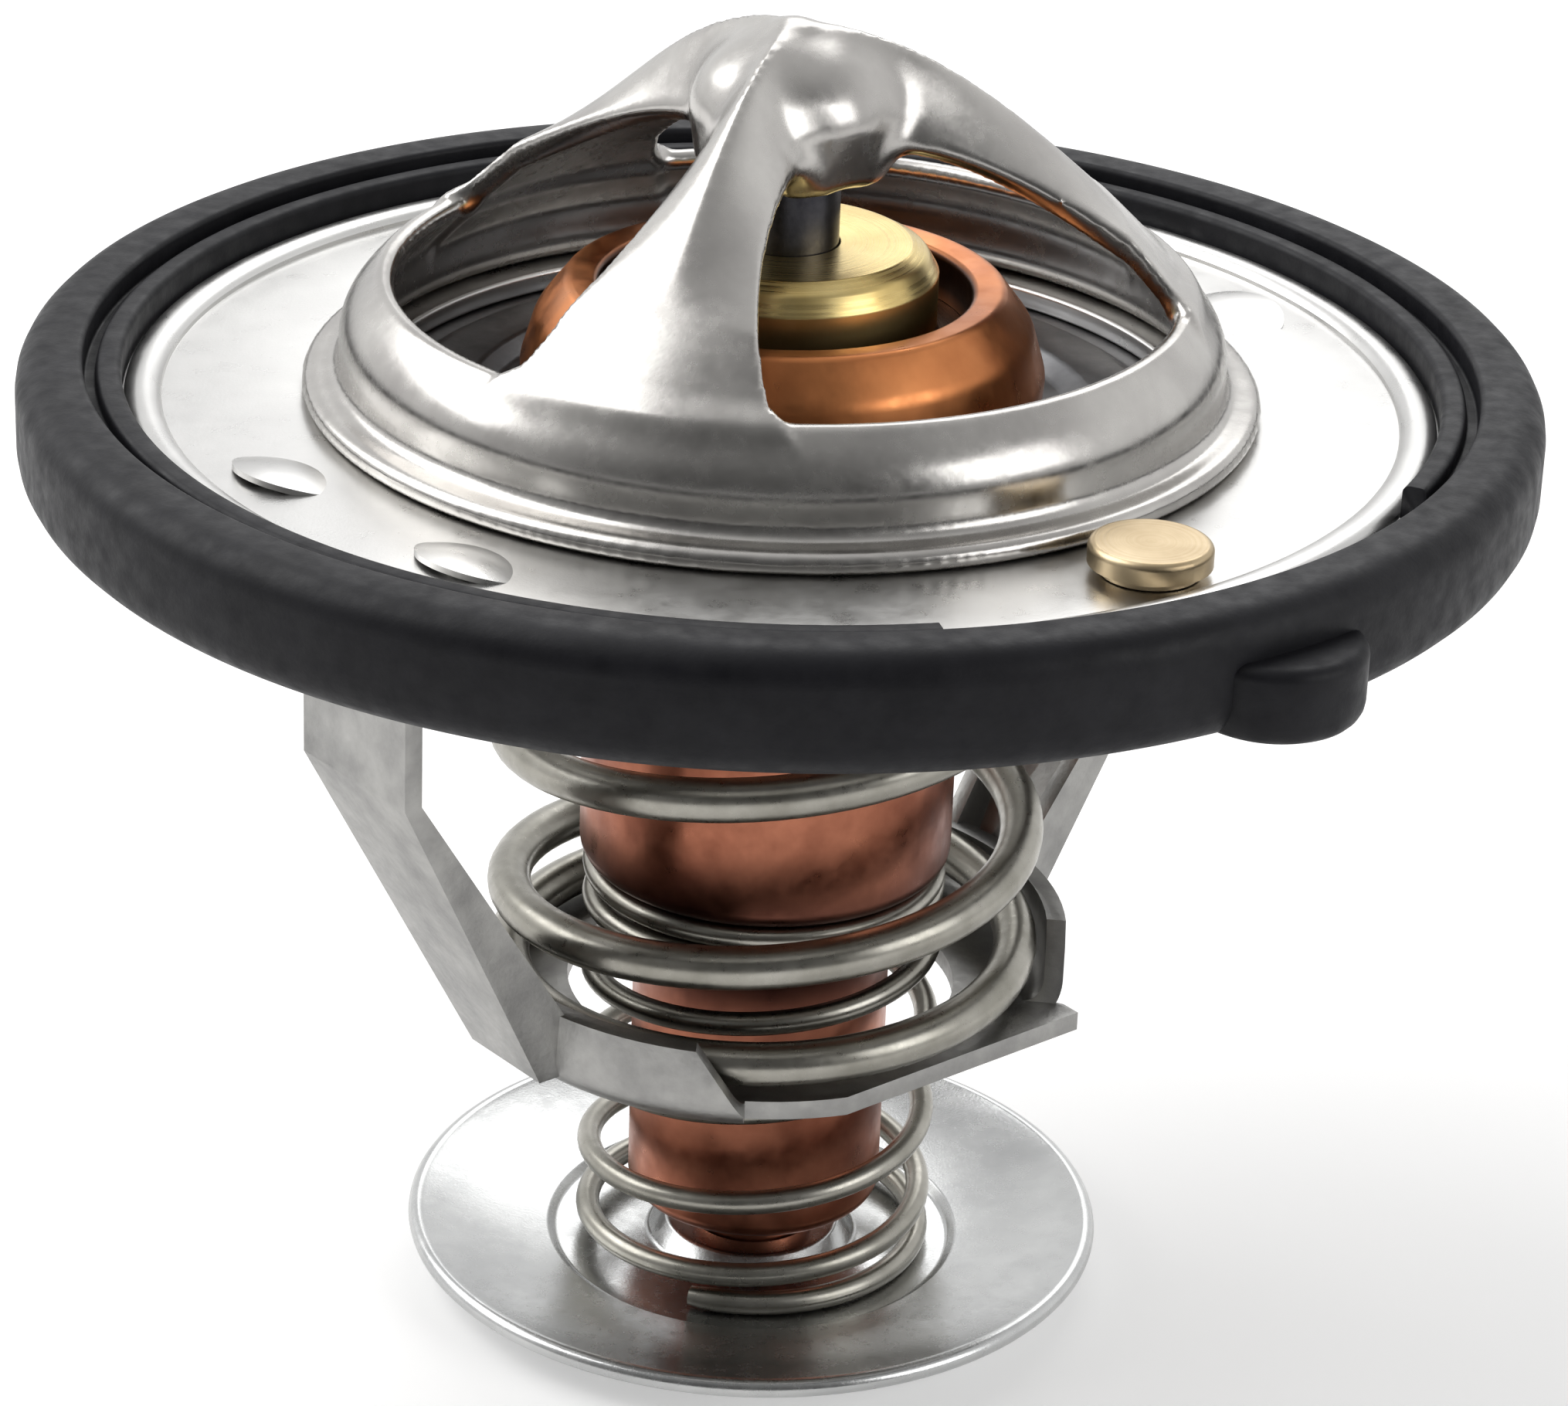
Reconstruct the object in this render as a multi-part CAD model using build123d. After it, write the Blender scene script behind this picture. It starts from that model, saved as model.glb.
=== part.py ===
from build123d import *

import os
from math import ceil, cos, pi, radians, sin, sqrt

# Engine thermostat with a bypass valve, in millimetres, +Z up.
# The origin is where the axis of the wax element meets the plane that the part stands on:
# the underside of the bypass disc. The bridge apex is the highest point.

# ---- Driving dimensions --------------------------------------------------------------

CUT = 100.0  # reach of a cutting tool past everything it trims
RUNNING_GAP = 0.05  # radial clearance where the piston slides in its guide

# Flange plate: a pressed steel ring that the housing clamps through the gasket.
FLANGE_RADIUS = 28.0
FLANGE_SHEET = 0.9
FLANGE_TOP = 39.3
SEAT_RADIUS = 16.4
BEAD_RADIUS = FLANGE_RADIUS - 2.7
BEAD_WIDTH = 1.5
BEAD_HEIGHT = 0.5

# Lanced half-moon bumps in the flange, which hold the ears of the lower frame.
FRAME_ANGLE = 40.0
FRAME_ENDS = (0, 180)
BUMP_OFFSET = 5.5
BUMP_RADIUS = 2.6
BUMP_HEIGHT = 0.8
BUMP_SHEET = 0.4

# Bridge: one deep-drawn stamping with a round foot, three arms and a socket for the piston.
BRIDGE_SHEET = 0.9
BRIDGE_WALL_RADIUS = SEAT_RADIUS + 1.2
BRIDGE_FOOT_RADIUS = BRIDGE_WALL_RADIUS + 1.46
BRIDGE_WALL_HEIGHT = 2.3
BRIDGE_FOOT_FILLET = 0.6
RIM_RADIUS = BRIDGE_WALL_RADIUS - 1.65
RIM_HEIGHT = 4.95
RIDGE_ROUNDING = 11.0
RIDGE_POINTS = 9
ARM_COUNT = 3
ARM_ANGLE = 10.0
ARM_NECK_WIDTH = 3.8
ARM_BASE_WIDTH = 11.4
ARM_FLARE = 3.5
ARM_CROWN_RADIUS = 22.0
ARM_FLANK_POWER = 1.5
CURL_DEPTH = 5.6
CURL_END = 13.2
ARM_TOP_SINK = 0.35
ARM_RIM_SINK = 0.08
ARM_ROOT_SINK = 0.2
SOCKET_CROWN_RADIUS = 4.0
SOCKET_CROWN_DROP = 3.5
SOCKET_MOUTH_RADIUS = 3.6
SOCKET_DEPTH = 5.9
SOCKET_ROOF = 2.5
SOCKET_FLARE = 0.6
SOCKET_CLEARANCE = 3.1

# Gasket: a rubber ring of U section round the edge of the flange.
GASKET_RADIUS = FLANGE_RADIUS + 2.25
GASKET_INNER_RADIUS = FLANGE_RADIUS - 1.9
GASKET_BOTTOM = 36.2
GASKET_TOP = 41.1
GASKET_LIP_WIDTH = 1.0
GASKET_LIP_RISE = 1.4
GASKET_GROOVE_WIDTH = 0.5
GASKET_GROOVE_DEPTH = 0.6
GASKET_EDGE_FILLET = 0.9
RELIEF_HALF_ANGLE = 25.0
TAB_RADIUS = 3.4
TAB_REACH = 2.0
TAB_HEIGHT = 3.1
TAB_FILLET = 0.5

# Vent: a loose pin in a small hole through the flange.
VENT_ANGLE = -51.0
VENT_HOLE_RADIUS = 1.4
VENT_HEAD_RADIUS = 2.35
VENT_FOOT_GAP = 0.59
VENT_RADIUS = BRIDGE_FOOT_RADIUS + VENT_HEAD_RADIUS + VENT_FOOT_GAP
VENT_HEAD_HEIGHT = 0.85
VENT_COLLAR_RADIUS = 1.9
VENT_COLLAR_HEIGHT = 0.35
VENT_STEM_RADIUS = 0.9
VENT_STEM_LENGTH = 5.6
VENT_REST_GAP = 0.05
VENT_WEIGHT_RADIUS = 1.7
VENT_WEIGHT_HEIGHT = 2.6

# Piston pin, fixed in the socket of the bridge.
PIN_RADIUS = 2.05
PIN_BOTTOM = 23.4
PIN_CHAMFER = 0.4

# Element case: drawn copper cup with a crimped collar.
CASE_WALL = 0.8
BODY_RADIUS = 7.7
BODY_BOTTOM = 18.9
TAIL_RADIUS = 5.35
TAIL_BOTTOM = 3.2
BODY_FILLET = 0.9
COLLAR_RADIUS = 10.45
COLLAR_LIP_RADIUS = 8.55
COLLAR_LIP_WIDTH = 1.15
COLLAR_HEIGHT = 5.6
COLLAR_BULGE_HEIGHT = 2.1
COLLAR_HEEL = 0.3

# Brass guide, crimped under the lip of the collar.
GUIDE_TOP = 45.7
GUIDE_RADIUS = 6.05
GUIDE_SHOULDER = 1.1
GUIDE_FLANGE_RADIUS = 8.6
GUIDE_FLANGE_HEIGHT = 2.8

# Rubber sleeve, its top washer and the wax round it.
SLEEVE_WALL = 1.3
SLEEVE_FLOOR = 1.3
SLEEVE_FLANGE_HEIGHT = 1.4
WASHER_RADIUS = 4.0
WASHER_HEIGHT = 0.8

# Main valve disc, carried under the collar of the case.
VALVE_RADIUS = SEAT_RADIUS + 1.2
VALVE_SHEET = 0.9
VALVE_CROWN_RADIUS = SEAT_RADIUS - 1.2
VALVE_CROWN_HEIGHT = 0.55
VALVE_HUB_RADIUS = 12.2

# Lower frame: one folded strip that carries the main spring.
FRAME_SHEET = 0.8
PLATE_TOP = 13.1
PLATE_HOLE_RADIUS = 8.1
PLATE_HALF_WIDTH = 10.4
PLATE_EAR_LENGTH = 8.6
PLATE_EAR_WIDTH = 0.9
CUP_RADIUS = 12.7
CUP_HEIGHT = 2.9
CUP_BEND_RADIUS = 0.8
CUP_HALF_ANGLE = 48.0
CUP_END_SLANT = 34.0
LEG_FACE = 20.7
LEG_BEND_DROP = 10.7
LEG_FOOT_FACE = 13.7
LEG_FOOT_RISE = 0.9
LEG_HALF_WIDTH = 3.4
LEG_FOOT_HALF_WIDTH = 2.3
LEG_FLANGE_DEPTH = 1.6
TBAR_HALF_WIDTH = 7.2
TBAR_HEIGHT = 1.6
EAR_HALF_WIDTH = 1.1
EAR_RISE = 0.85

# Main spring, right-handed, with closed ends.
SPRING_WIRE = 1.8
SPRING_RADIUS = 10.6
SPRING_TURNS = 4.32
SPRING_END_TURNS = 0.49
SPRING_START_TURNS = 0.05
SPRING_RISE_TURNS = 2.6
SPRING_LEVEL_TURNS = 0.2
SPRING_START = -630.0
SPRING_SEAT_GAP = 0.03

# Bypass disc, its spring, stem and clip.
DISC_RADIUS = 14.7
DISC_SHEET = 0.75
DISC_RIM_TOP = 2.1
DISC_RIM_ROLL = 0.4
DISC_RECESS_RADIUS = 8.4
DISC_RECESS_STEP = 0.35
DISC_HUB_RADIUS = 3.3
DISC_HUB_TOP = 1.6
STEM_RADIUS = 2.5
STEM_BOTTOM = 0.15
STEM_HEAD_RADIUS = 4.0
STEM_HEAD_HEIGHT = 1.2
STEM_GAP = 0.1
CLIP_RADIUS = 3.2
CLIP_SHEET = 0.4
CLIP_GROOVE = 0.5
CLIP_OPENING = 2.2
BYPASS_WIRE = 1.0
BYPASS_RADIUS = 7.05
BYPASS_TURNS = 6.4
BYPASS_END_TURNS = 0.44
BYPASS_START_TURNS = 0.05
BYPASS_RISE_TURNS = 2.45
BYPASS_LEVEL_TURNS = 2.85
BYPASS_START = -110.0

# ---- Sizes that follow from them -----------------------------------------------------

BRIDGE_TOP = GUIDE_TOP + SOCKET_CLEARANCE + SOCKET_DEPTH
FLANGE_BOTTOM = FLANGE_TOP - FLANGE_SHEET
PLATE_BOTTOM = PLATE_TOP - FRAME_SHEET
RIM_Z = FLANGE_TOP + RIM_HEIGHT
WALL_TOP = FLANGE_TOP + BRIDGE_WALL_HEIGHT
VALVE_TOP = FLANGE_BOTTOM
VALVE_BOTTOM = VALVE_TOP - VALVE_SHEET
CASE_BORE = BODY_RADIUS - CASE_WALL
TAIL_BORE = TAIL_RADIUS - CASE_WALL
CASE_FLOOR = TAIL_BOTTOM + CASE_WALL
CASE_LEDGE = VALVE_TOP + CASE_WALL
GUIDE_BORE = PIN_RADIUS + RUNNING_GAP
SLEEVE_BORE = GUIDE_BORE
SLEEVE_RADIUS = SLEEVE_BORE + SLEEVE_WALL
SLEEVE_BOTTOM = PIN_BOTTOM - RUNNING_GAP - SLEEVE_FLOOR
SLEEVE_FLANGE_BOTTOM = CASE_LEDGE - SLEEVE_FLANGE_HEIGHT
SOCKET_BOTTOM = BRIDGE_TOP - SOCKET_DEPTH
PIN_TOP = BRIDGE_TOP - SOCKET_ROOF
STEM_HOLE_RADIUS = STEM_RADIUS + STEM_GAP
DISC_HUB_BOTTOM = DISC_HUB_TOP - DISC_SHEET
CLIP_TOP = DISC_HUB_BOTTOM - STEM_GAP / 2
CLIP_BOTTOM = CLIP_TOP - CLIP_SHEET
GROOVE_RADIUS = STEM_RADIUS - CLIP_GROOVE


# ---- Helpers -------------------------------------------------------------------------


def ring(points):
    """Turns a closed outline of (radius, height) points round the main axis."""
    return revolve(Plane.XZ * make_face(Polyline(*points, close=True)), Axis.Z)


def turned(*edges):
    """Turns a closed outline of edges, drawn as (radius, height), round the main axis."""
    return revolve(Plane.XZ * make_face(Curve() + list(edges)), Axis.Z)


def side_plate(points, half_width):
    """A plate drawn as (x, z) points and as thick as twice half_width along Y."""
    return extrude(Plane.XZ * make_face(Polyline(*points, close=True)), half_width, both=True)


def front_plate(points):
    """A prism drawn as (y, z) points that reaches far along X both ways."""
    return extrude(Plane.YZ * make_face(Polyline(*points, close=True)), CUT, both=True)


def tube(outer, inner, bottom, top):
    """A plain ring about the main axis."""
    return ring([(inner, bottom), (outer, bottom), (outer, top), (inner, top)])


def coil(radius, wire, bottom, top, turns, start, start_turns, rise_turns, level_turns, end_turns):
    """A round-wire spring between two faces, with a flat closed coil at each end.

    The pitch grows over rise_turns from the lower closed coil, and falls over level_turns
    to the upper one.
    """
    low = bottom + wire / 2 + SPRING_SEAT_GAP
    rise = top - bottom - wire - 2 * SPRING_SEAT_GAP
    steps = ceil(turns * 12)
    climbs = [0.0]
    for step in range(steps):
        turn = turns * (step + 0.5) / steps
        growing = (turn - start_turns) / rise_turns
        falling = (turns - end_turns - turn) / level_turns
        pitch = sin(pi / 2 * min(max(growing, 0.0), max(falling, 0.0), 1.0))
        climbs.append(climbs[-1] + pitch)
    points = []
    for step, climb in enumerate(climbs):
        angle = radians(start + 360 * turns * step / steps)
        height = low + rise * climb / climbs[-1]
        points.append((radius * cos(angle), radius * sin(angle), height))
    path = Spline(*points)
    section = Plane(path @ 0, z_dir=path % 0) * Circle(wire / 2)
    return sweep(section, path=path, is_frenet=True)


# ---- Flange plate --------------------------------------------------------------------


def bump_place(side, end):
    """Centre of one lanced bump, on the flange top, in the frame's own direction."""
    return Rot(0, 0, FRAME_ANGLE + end) * Pos(LEG_FACE + STEM_GAP / 2, side * BUMP_OFFSET, FLANGE_TOP)


def flange_plate():
    """Ring plate with a raised bead, four lanced bumps and the vent hole."""
    plate = tube(FLANGE_RADIUS, SEAT_RADIUS, FLANGE_BOTTOM, FLANGE_TOP)
    half = BEAD_WIDTH / 2
    bead = make_face(
        Curve()
        + [
            ThreePointArc(
                (BEAD_RADIUS - half, FLANGE_TOP),
                (BEAD_RADIUS, FLANGE_TOP + BEAD_HEIGHT),
                (BEAD_RADIUS + half, FLANGE_TOP),
            ),
            Line((BEAD_RADIUS + half, FLANGE_TOP), (BEAD_RADIUS - half, FLANGE_TOP)),
        ]
    )
    plate += revolve(Plane.XZ * bead, Axis.Z)
    ball = (BUMP_RADIUS**2 + BUMP_HEIGHT**2) / (2 * BUMP_HEIGHT)
    sunk = BUMP_HEIGHT - ball
    inner_side = Pos(-CUT / 2, 0, 0) * Box(CUT, CUT, CUT)
    above = Pos(0, 0, CUT / 2 - FLANGE_SHEET / 2) * Box(CUT, CUT, CUT)
    shell = Pos(0, 0, sunk) * Sphere(ball) & inner_side & above
    hollow = Pos(0, 0, sunk) * Sphere(ball - BUMP_SHEET) & inner_side
    for end in FRAME_ENDS:
        for side in (1, -1):
            plate += bump_place(side, end) * shell
    for end in FRAME_ENDS:
        for side in (1, -1):
            plate -= bump_place(side, end) * hollow
    vent = Pos(VENT_RADIUS, 0, FLANGE_TOP) * Cylinder(VENT_HOLE_RADIUS, 4 * FLANGE_SHEET)
    return plate - Rot(0, 0, VENT_ANGLE) * vent


# ---- Bridge --------------------------------------------------------------------------


def ridge():
    """Centre line of an arm's outer face, from the apex to the shoulder, as (radius, height).

    It rounds over the apex and runs almost straight down to the shoulder.
    """
    scale = (BRIDGE_TOP - RIM_Z) / (sqrt(1 + (RIM_RADIUS / RIDGE_ROUNDING) ** 2) - 1)
    points = []
    for step in range(RIDGE_POINTS):
        radius = RIM_RADIUS * step / (RIDGE_POINTS - 1)
        drop = scale * (sqrt(1 + (radius / RIDGE_ROUNDING) ** 2) - 1)
        points.append((radius, BRIDGE_TOP - drop))
    return Spline(*points)


def arm_section(point, tangent, sunk):
    """Section of an arm: flat and wide at the foot, a deep curled channel at the neck."""
    radius, height = point.X, point.Y
    neck = ARM_NECK_WIDTH / 2
    half = neck + (ARM_BASE_WIDTH / 2 - neck) * (radius / RIM_RADIUS) ** ARM_FLARE
    curl = max(0.0, 1 - radius / CURL_END)
    crowned = half**2 / (2 * ARM_CROWN_RADIUS)
    curled = CURL_DEPTH * curl
    sheet = BRIDGE_SHEET - 1.5 * sunk
    inner_half = half - sheet * curl
    inner_depth = 1 - sheet * curl / (crowned + curled)
    outer_points = []
    inner_points = []
    for step in range(-3, 4):
        across = step / 3
        fall = crowned * across**2 + curled * abs(across) ** ARM_FLANK_POWER
        outer_points.append((half * across, -fall))
        inner_points.append((inner_half * across, -sheet - inner_depth * fall))
    outer = Spline(*outer_points)
    inner = Spline(*inner_points)
    ends = [Line(outer @ 0, inner @ 0), Line(outer @ 1, inner @ 1)]
    face = make_face(Curve() + [outer, inner] + ends)
    normal = Vector(-tangent.Y, 0, tangent.X)
    along = Vector(tangent.X, 0, tangent.Y)
    origin = Vector(radius, 0, height) - normal * sunk
    return Plane(origin, x_dir=normal.cross(along), z_dir=along) * face


def arm():
    """One arm, lofted along the ridge from inside the socket to inside the foot ring."""
    line = ridge()
    sections = [arm_section(line @ 0.1, line % 0.1, ARM_TOP_SINK)]
    for share in (0.25, 0.4, 0.55, 0.68, 0.8, 0.9):
        sections.append(arm_section(line @ share, line % share, 0.0))
    sections.append(arm_section(line @ 1.0, line % 1.0, ARM_RIM_SINK))
    lean = (line % 1.0 + Vector(0, -1)).normalized()
    root = line @ 1.0 + lean * BRIDGE_SHEET
    sections.append(arm_section(root, lean, ARM_ROOT_SINK))
    return loft(sections)


def foot_ring():
    """The round foot: a flared foot, an upright wall and a rounded shoulder up to the rim."""
    line = ridge()
    slope = line % 1.0
    inward = Vector(slope.Y, -slope.X)
    rim_out = line @ 1.0
    rim_in = rim_out + inward * BRIDGE_SHEET
    wall_in = BRIDGE_WALL_RADIUS - BRIDGE_SHEET
    foot_top = FLANGE_TOP + BRIDGE_SHEET
    fillet_out = BRIDGE_FOOT_FILLET
    fillet_in = BRIDGE_FOOT_FILLET + BRIDGE_SHEET
    bend = sin(radians(45))
    outer_arc = ThreePointArc(
        (BRIDGE_WALL_RADIUS + fillet_out, foot_top),
        (BRIDGE_WALL_RADIUS + fillet_out * (1 - bend), foot_top + fillet_out * (1 - bend)),
        (BRIDGE_WALL_RADIUS, foot_top + fillet_out),
    )
    inner_arc = ThreePointArc(
        (wall_in, FLANGE_TOP + fillet_in),
        (wall_in + fillet_in * (1 - bend), FLANGE_TOP + fillet_in * (1 - bend)),
        (wall_in + fillet_in, FLANGE_TOP),
    )
    shoulder = Spline(
        (BRIDGE_WALL_RADIUS, WALL_TOP), (rim_out.X, rim_out.Y), tangents=[(0, 1), (-slope.X, -slope.Y)]
    )
    inner_shoulder = Spline(
        (rim_in.X, rim_in.Y), (wall_in, WALL_TOP), tangents=[(slope.X, slope.Y), (0, -1)]
    )
    return turned(
        Line(inner_arc @ 1, (BRIDGE_FOOT_RADIUS, FLANGE_TOP)),
        Line((BRIDGE_FOOT_RADIUS, FLANGE_TOP), (BRIDGE_FOOT_RADIUS, foot_top)),
        Line((BRIDGE_FOOT_RADIUS, foot_top), outer_arc @ 0),
        outer_arc,
        Line(outer_arc @ 1, shoulder @ 0),
        shoulder,
        Line(shoulder @ 1, inner_shoulder @ 0),
        inner_shoulder,
        Line(inner_shoulder @ 1, inner_arc @ 0),
        inner_arc,
    )


def socket():
    """The deep-drawn thimble under the apex, before its bore is cut."""
    crown_z = BRIDGE_TOP - SOCKET_CROWN_DROP
    bend = sin(radians(45))
    crown = Spline(
        (0, BRIDGE_TOP),
        (SOCKET_CROWN_RADIUS * bend, crown_z + SOCKET_CROWN_DROP * bend),
        (SOCKET_CROWN_RADIUS, crown_z),
        tangents=[(1, 0), (0, -1)],
    )
    return turned(
        crown,
        Line((SOCKET_CROWN_RADIUS, crown_z), (SOCKET_MOUTH_RADIUS, SOCKET_BOTTOM)),
        Line((SOCKET_MOUTH_RADIUS, SOCKET_BOTTOM), (0, SOCKET_BOTTOM)),
        Line((0, SOCKET_BOTTOM), (0, BRIDGE_TOP)),
    )


def bridge():
    """Foot ring, three arms and the socket, with the piston's blind bore."""
    body = foot_ring() + socket()
    one_arm = arm()
    for index in range(ARM_COUNT):
        body += Rot(0, 0, ARM_ANGLE + 360 / ARM_COUNT * index) * one_arm
    mouth = PIN_RADIUS + SOCKET_FLARE
    bore = ring(
        [
            (0, SOCKET_BOTTOM - CUT / 10),
            (mouth, SOCKET_BOTTOM - CUT / 10),
            (mouth, SOCKET_BOTTOM),
            (PIN_RADIUS, SOCKET_BOTTOM + 2 * SOCKET_FLARE),
            (PIN_RADIUS, PIN_TOP),
            (0, PIN_TOP),
        ]
    )
    return body - bore


# ---- Gasket --------------------------------------------------------------------------


def gasket():
    """Rubber ring of U section, its inner lip cut back at the vent, with a flat locating ear."""
    lip_top = FLANGE_TOP + GASKET_LIP_RISE
    lip_outer = GASKET_INNER_RADIUS + GASKET_LIP_WIDTH
    ridge_inner = lip_outer + GASKET_GROOVE_WIDTH
    groove_z = lip_top - GASKET_GROOVE_DEPTH
    body = ring(
        [
            (FLANGE_RADIUS, FLANGE_BOTTOM),
            (GASKET_INNER_RADIUS, FLANGE_BOTTOM),
            (GASKET_INNER_RADIUS, GASKET_BOTTOM),
            (GASKET_RADIUS, GASKET_BOTTOM),
            (GASKET_RADIUS, GASKET_TOP),
            (ridge_inner, GASKET_TOP),
            (ridge_inner, groove_z),
            (lip_outer, groove_z),
            (lip_outer, lip_top),
            (GASKET_INNER_RADIUS, lip_top),
            (GASKET_INNER_RADIUS, FLANGE_TOP),
            (FLANGE_RADIUS, FLANGE_TOP),
        ]
    )
    circles = body.edges().filter_by(GeomType.CIRCLE)
    outer_edges = circles.filter_by(lambda edge: abs(edge.radius - GASKET_RADIUS) < RUNNING_GAP)
    lower_edges = circles.group_by(Axis.Z)[0]
    body = fillet(ShapeList(set(outer_edges) | set(lower_edges)), GASKET_EDGE_FILLET)
    tall = 2 * (GASKET_TOP - FLANGE_TOP)
    cutter = revolve(
        Plane.XZ
        * make_face(
            Polyline(
                (SEAT_RADIUS, FLANGE_TOP),
                (ridge_inner, FLANGE_TOP),
                (ridge_inner, FLANGE_TOP + tall),
                (SEAT_RADIUS, FLANGE_TOP + tall),
                close=True,
            )
        ),
        Axis.Z,
        revolution_arc=2 * RELIEF_HALF_ANGLE,
    )
    body -= Rot(0, 0, VENT_ANGLE - RELIEF_HALF_ANGLE) * cutter
    centre = GASKET_RADIUS + TAB_REACH - TAB_RADIUS
    tab = Cylinder(TAB_RADIUS, TAB_HEIGHT, align=(Align.CENTER, Align.CENTER, Align.MIN))
    tab = fillet(tab.edges().filter_by(GeomType.CIRCLE), TAB_FILLET)
    tab = Pos(centre, 0, GASKET_BOTTOM) * tab
    tab -= tube(FLANGE_RADIUS + FLANGE_SHEET, SEAT_RADIUS, 0, GASKET_TOP)
    return body + Rot(0, 0, VENT_ANGLE) * tab


# ---- Vent ----------------------------------------------------------------------------


def vent_pin():
    """Turned brass pin: a flat head on a short collar, and a thin stem."""
    base = FLANGE_TOP + VENT_REST_GAP
    stem_bottom = base - VENT_STEM_LENGTH
    pin = ring(
        [
            (0, stem_bottom),
            (VENT_STEM_RADIUS, stem_bottom),
            (VENT_STEM_RADIUS, base),
            (VENT_COLLAR_RADIUS, base),
            (VENT_COLLAR_RADIUS, base + VENT_COLLAR_HEIGHT),
            (VENT_HEAD_RADIUS, base + VENT_COLLAR_HEIGHT),
            (VENT_HEAD_RADIUS, base + VENT_COLLAR_HEIGHT + VENT_HEAD_HEIGHT),
            (0, base + VENT_COLLAR_HEIGHT + VENT_HEAD_HEIGHT),
        ]
    )
    top_edge = pin.edges().sort_by(Axis.Z)[-1]
    pin = fillet(top_edge, VENT_HEAD_HEIGHT / 3)
    return Rot(0, 0, VENT_ANGLE) * Pos(VENT_RADIUS, 0, 0) * pin


def vent_weight():
    """Barrel-shaped weight pressed on the lower end of the vent pin."""
    bottom = FLANGE_TOP + VENT_REST_GAP - VENT_STEM_LENGTH
    top = bottom + VENT_WEIGHT_HEIGHT
    barrel = turned(
        Line((VENT_STEM_RADIUS, bottom), (VENT_STEM_RADIUS * 1.4, bottom)),
        ThreePointArc(
            (VENT_STEM_RADIUS * 1.4, bottom),
            (VENT_WEIGHT_RADIUS, (bottom + top) / 2),
            (VENT_STEM_RADIUS * 1.4, top),
        ),
        Line((VENT_STEM_RADIUS * 1.4, top), (VENT_STEM_RADIUS, top)),
        Line((VENT_STEM_RADIUS, top), (VENT_STEM_RADIUS, bottom)),
    )
    return Rot(0, 0, VENT_ANGLE) * Pos(VENT_RADIUS, 0, 0) * barrel


# ---- Element -------------------------------------------------------------------------


def piston_pin():
    """Steel pin whose top is seated in the bridge and whose lower end lies in the sleeve."""
    return ring(
        [
            (0, PIN_BOTTOM),
            (PIN_RADIUS - PIN_CHAMFER, PIN_BOTTOM),
            (PIN_RADIUS, PIN_BOTTOM + PIN_CHAMFER),
            (PIN_RADIUS, PIN_TOP),
            (0, PIN_TOP),
        ]
    )


def element_case():
    """Stepped copper cup, with the bulged collar that is crimped over the guide."""
    lip_z = VALVE_TOP + COLLAR_HEIGHT
    bulge_z = VALVE_TOP + COLLAR_BULGE_HEIGHT
    lip_in = COLLAR_LIP_RADIUS - COLLAR_LIP_WIDTH
    heel = COLLAR_RADIUS - COLLAR_HEEL
    guide_top = CASE_LEDGE + GUIDE_FLANGE_HEIGHT
    flank = ThreePointArc(
        (heel, VALVE_TOP + COLLAR_HEEL),
        (COLLAR_RADIUS, bulge_z),
        (COLLAR_LIP_RADIUS, lip_z),
    )
    return turned(
        Line((BODY_RADIUS, VALVE_TOP), (heel - COLLAR_HEEL, VALVE_TOP)),
        Line((heel - COLLAR_HEEL, VALVE_TOP), flank @ 0),
        flank,
        Line(flank @ 1, (lip_in, lip_z - COLLAR_HEEL)),
        Line((lip_in, lip_z - COLLAR_HEEL), (lip_in, guide_top)),
        Line((lip_in, guide_top), (GUIDE_FLANGE_RADIUS, guide_top)),
        Line((GUIDE_FLANGE_RADIUS, guide_top), (GUIDE_FLANGE_RADIUS, CASE_LEDGE)),
        Line((GUIDE_FLANGE_RADIUS, CASE_LEDGE), (CASE_BORE, CASE_LEDGE)),
        Line((CASE_BORE, CASE_LEDGE), (CASE_BORE, BODY_BOTTOM + CASE_WALL)),
        Line((CASE_BORE, BODY_BOTTOM + CASE_WALL), (TAIL_BORE, BODY_BOTTOM + CASE_WALL)),
        Line((TAIL_BORE, BODY_BOTTOM + CASE_WALL), (TAIL_BORE, CASE_FLOOR)),
        Line((TAIL_BORE, CASE_FLOOR), (STEM_RADIUS, CASE_FLOOR)),
        Line((STEM_RADIUS, CASE_FLOOR), (STEM_RADIUS, TAIL_BOTTOM)),
        Line((STEM_RADIUS, TAIL_BOTTOM), (TAIL_RADIUS - BODY_FILLET / 2, TAIL_BOTTOM)),
        Line((TAIL_RADIUS - BODY_FILLET / 2, TAIL_BOTTOM), (TAIL_RADIUS, TAIL_BOTTOM + BODY_FILLET / 2)),
        Line((TAIL_RADIUS, TAIL_BOTTOM + BODY_FILLET / 2), (TAIL_RADIUS, BODY_BOTTOM)),
        Line((TAIL_RADIUS, BODY_BOTTOM), (BODY_RADIUS - BODY_FILLET / 2, BODY_BOTTOM)),
        Line((BODY_RADIUS - BODY_FILLET / 2, BODY_BOTTOM), (BODY_RADIUS, BODY_BOTTOM + BODY_FILLET / 2)),
        Line((BODY_RADIUS, BODY_BOTTOM + BODY_FILLET / 2), (BODY_RADIUS, VALVE_TOP)),
    )


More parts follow.
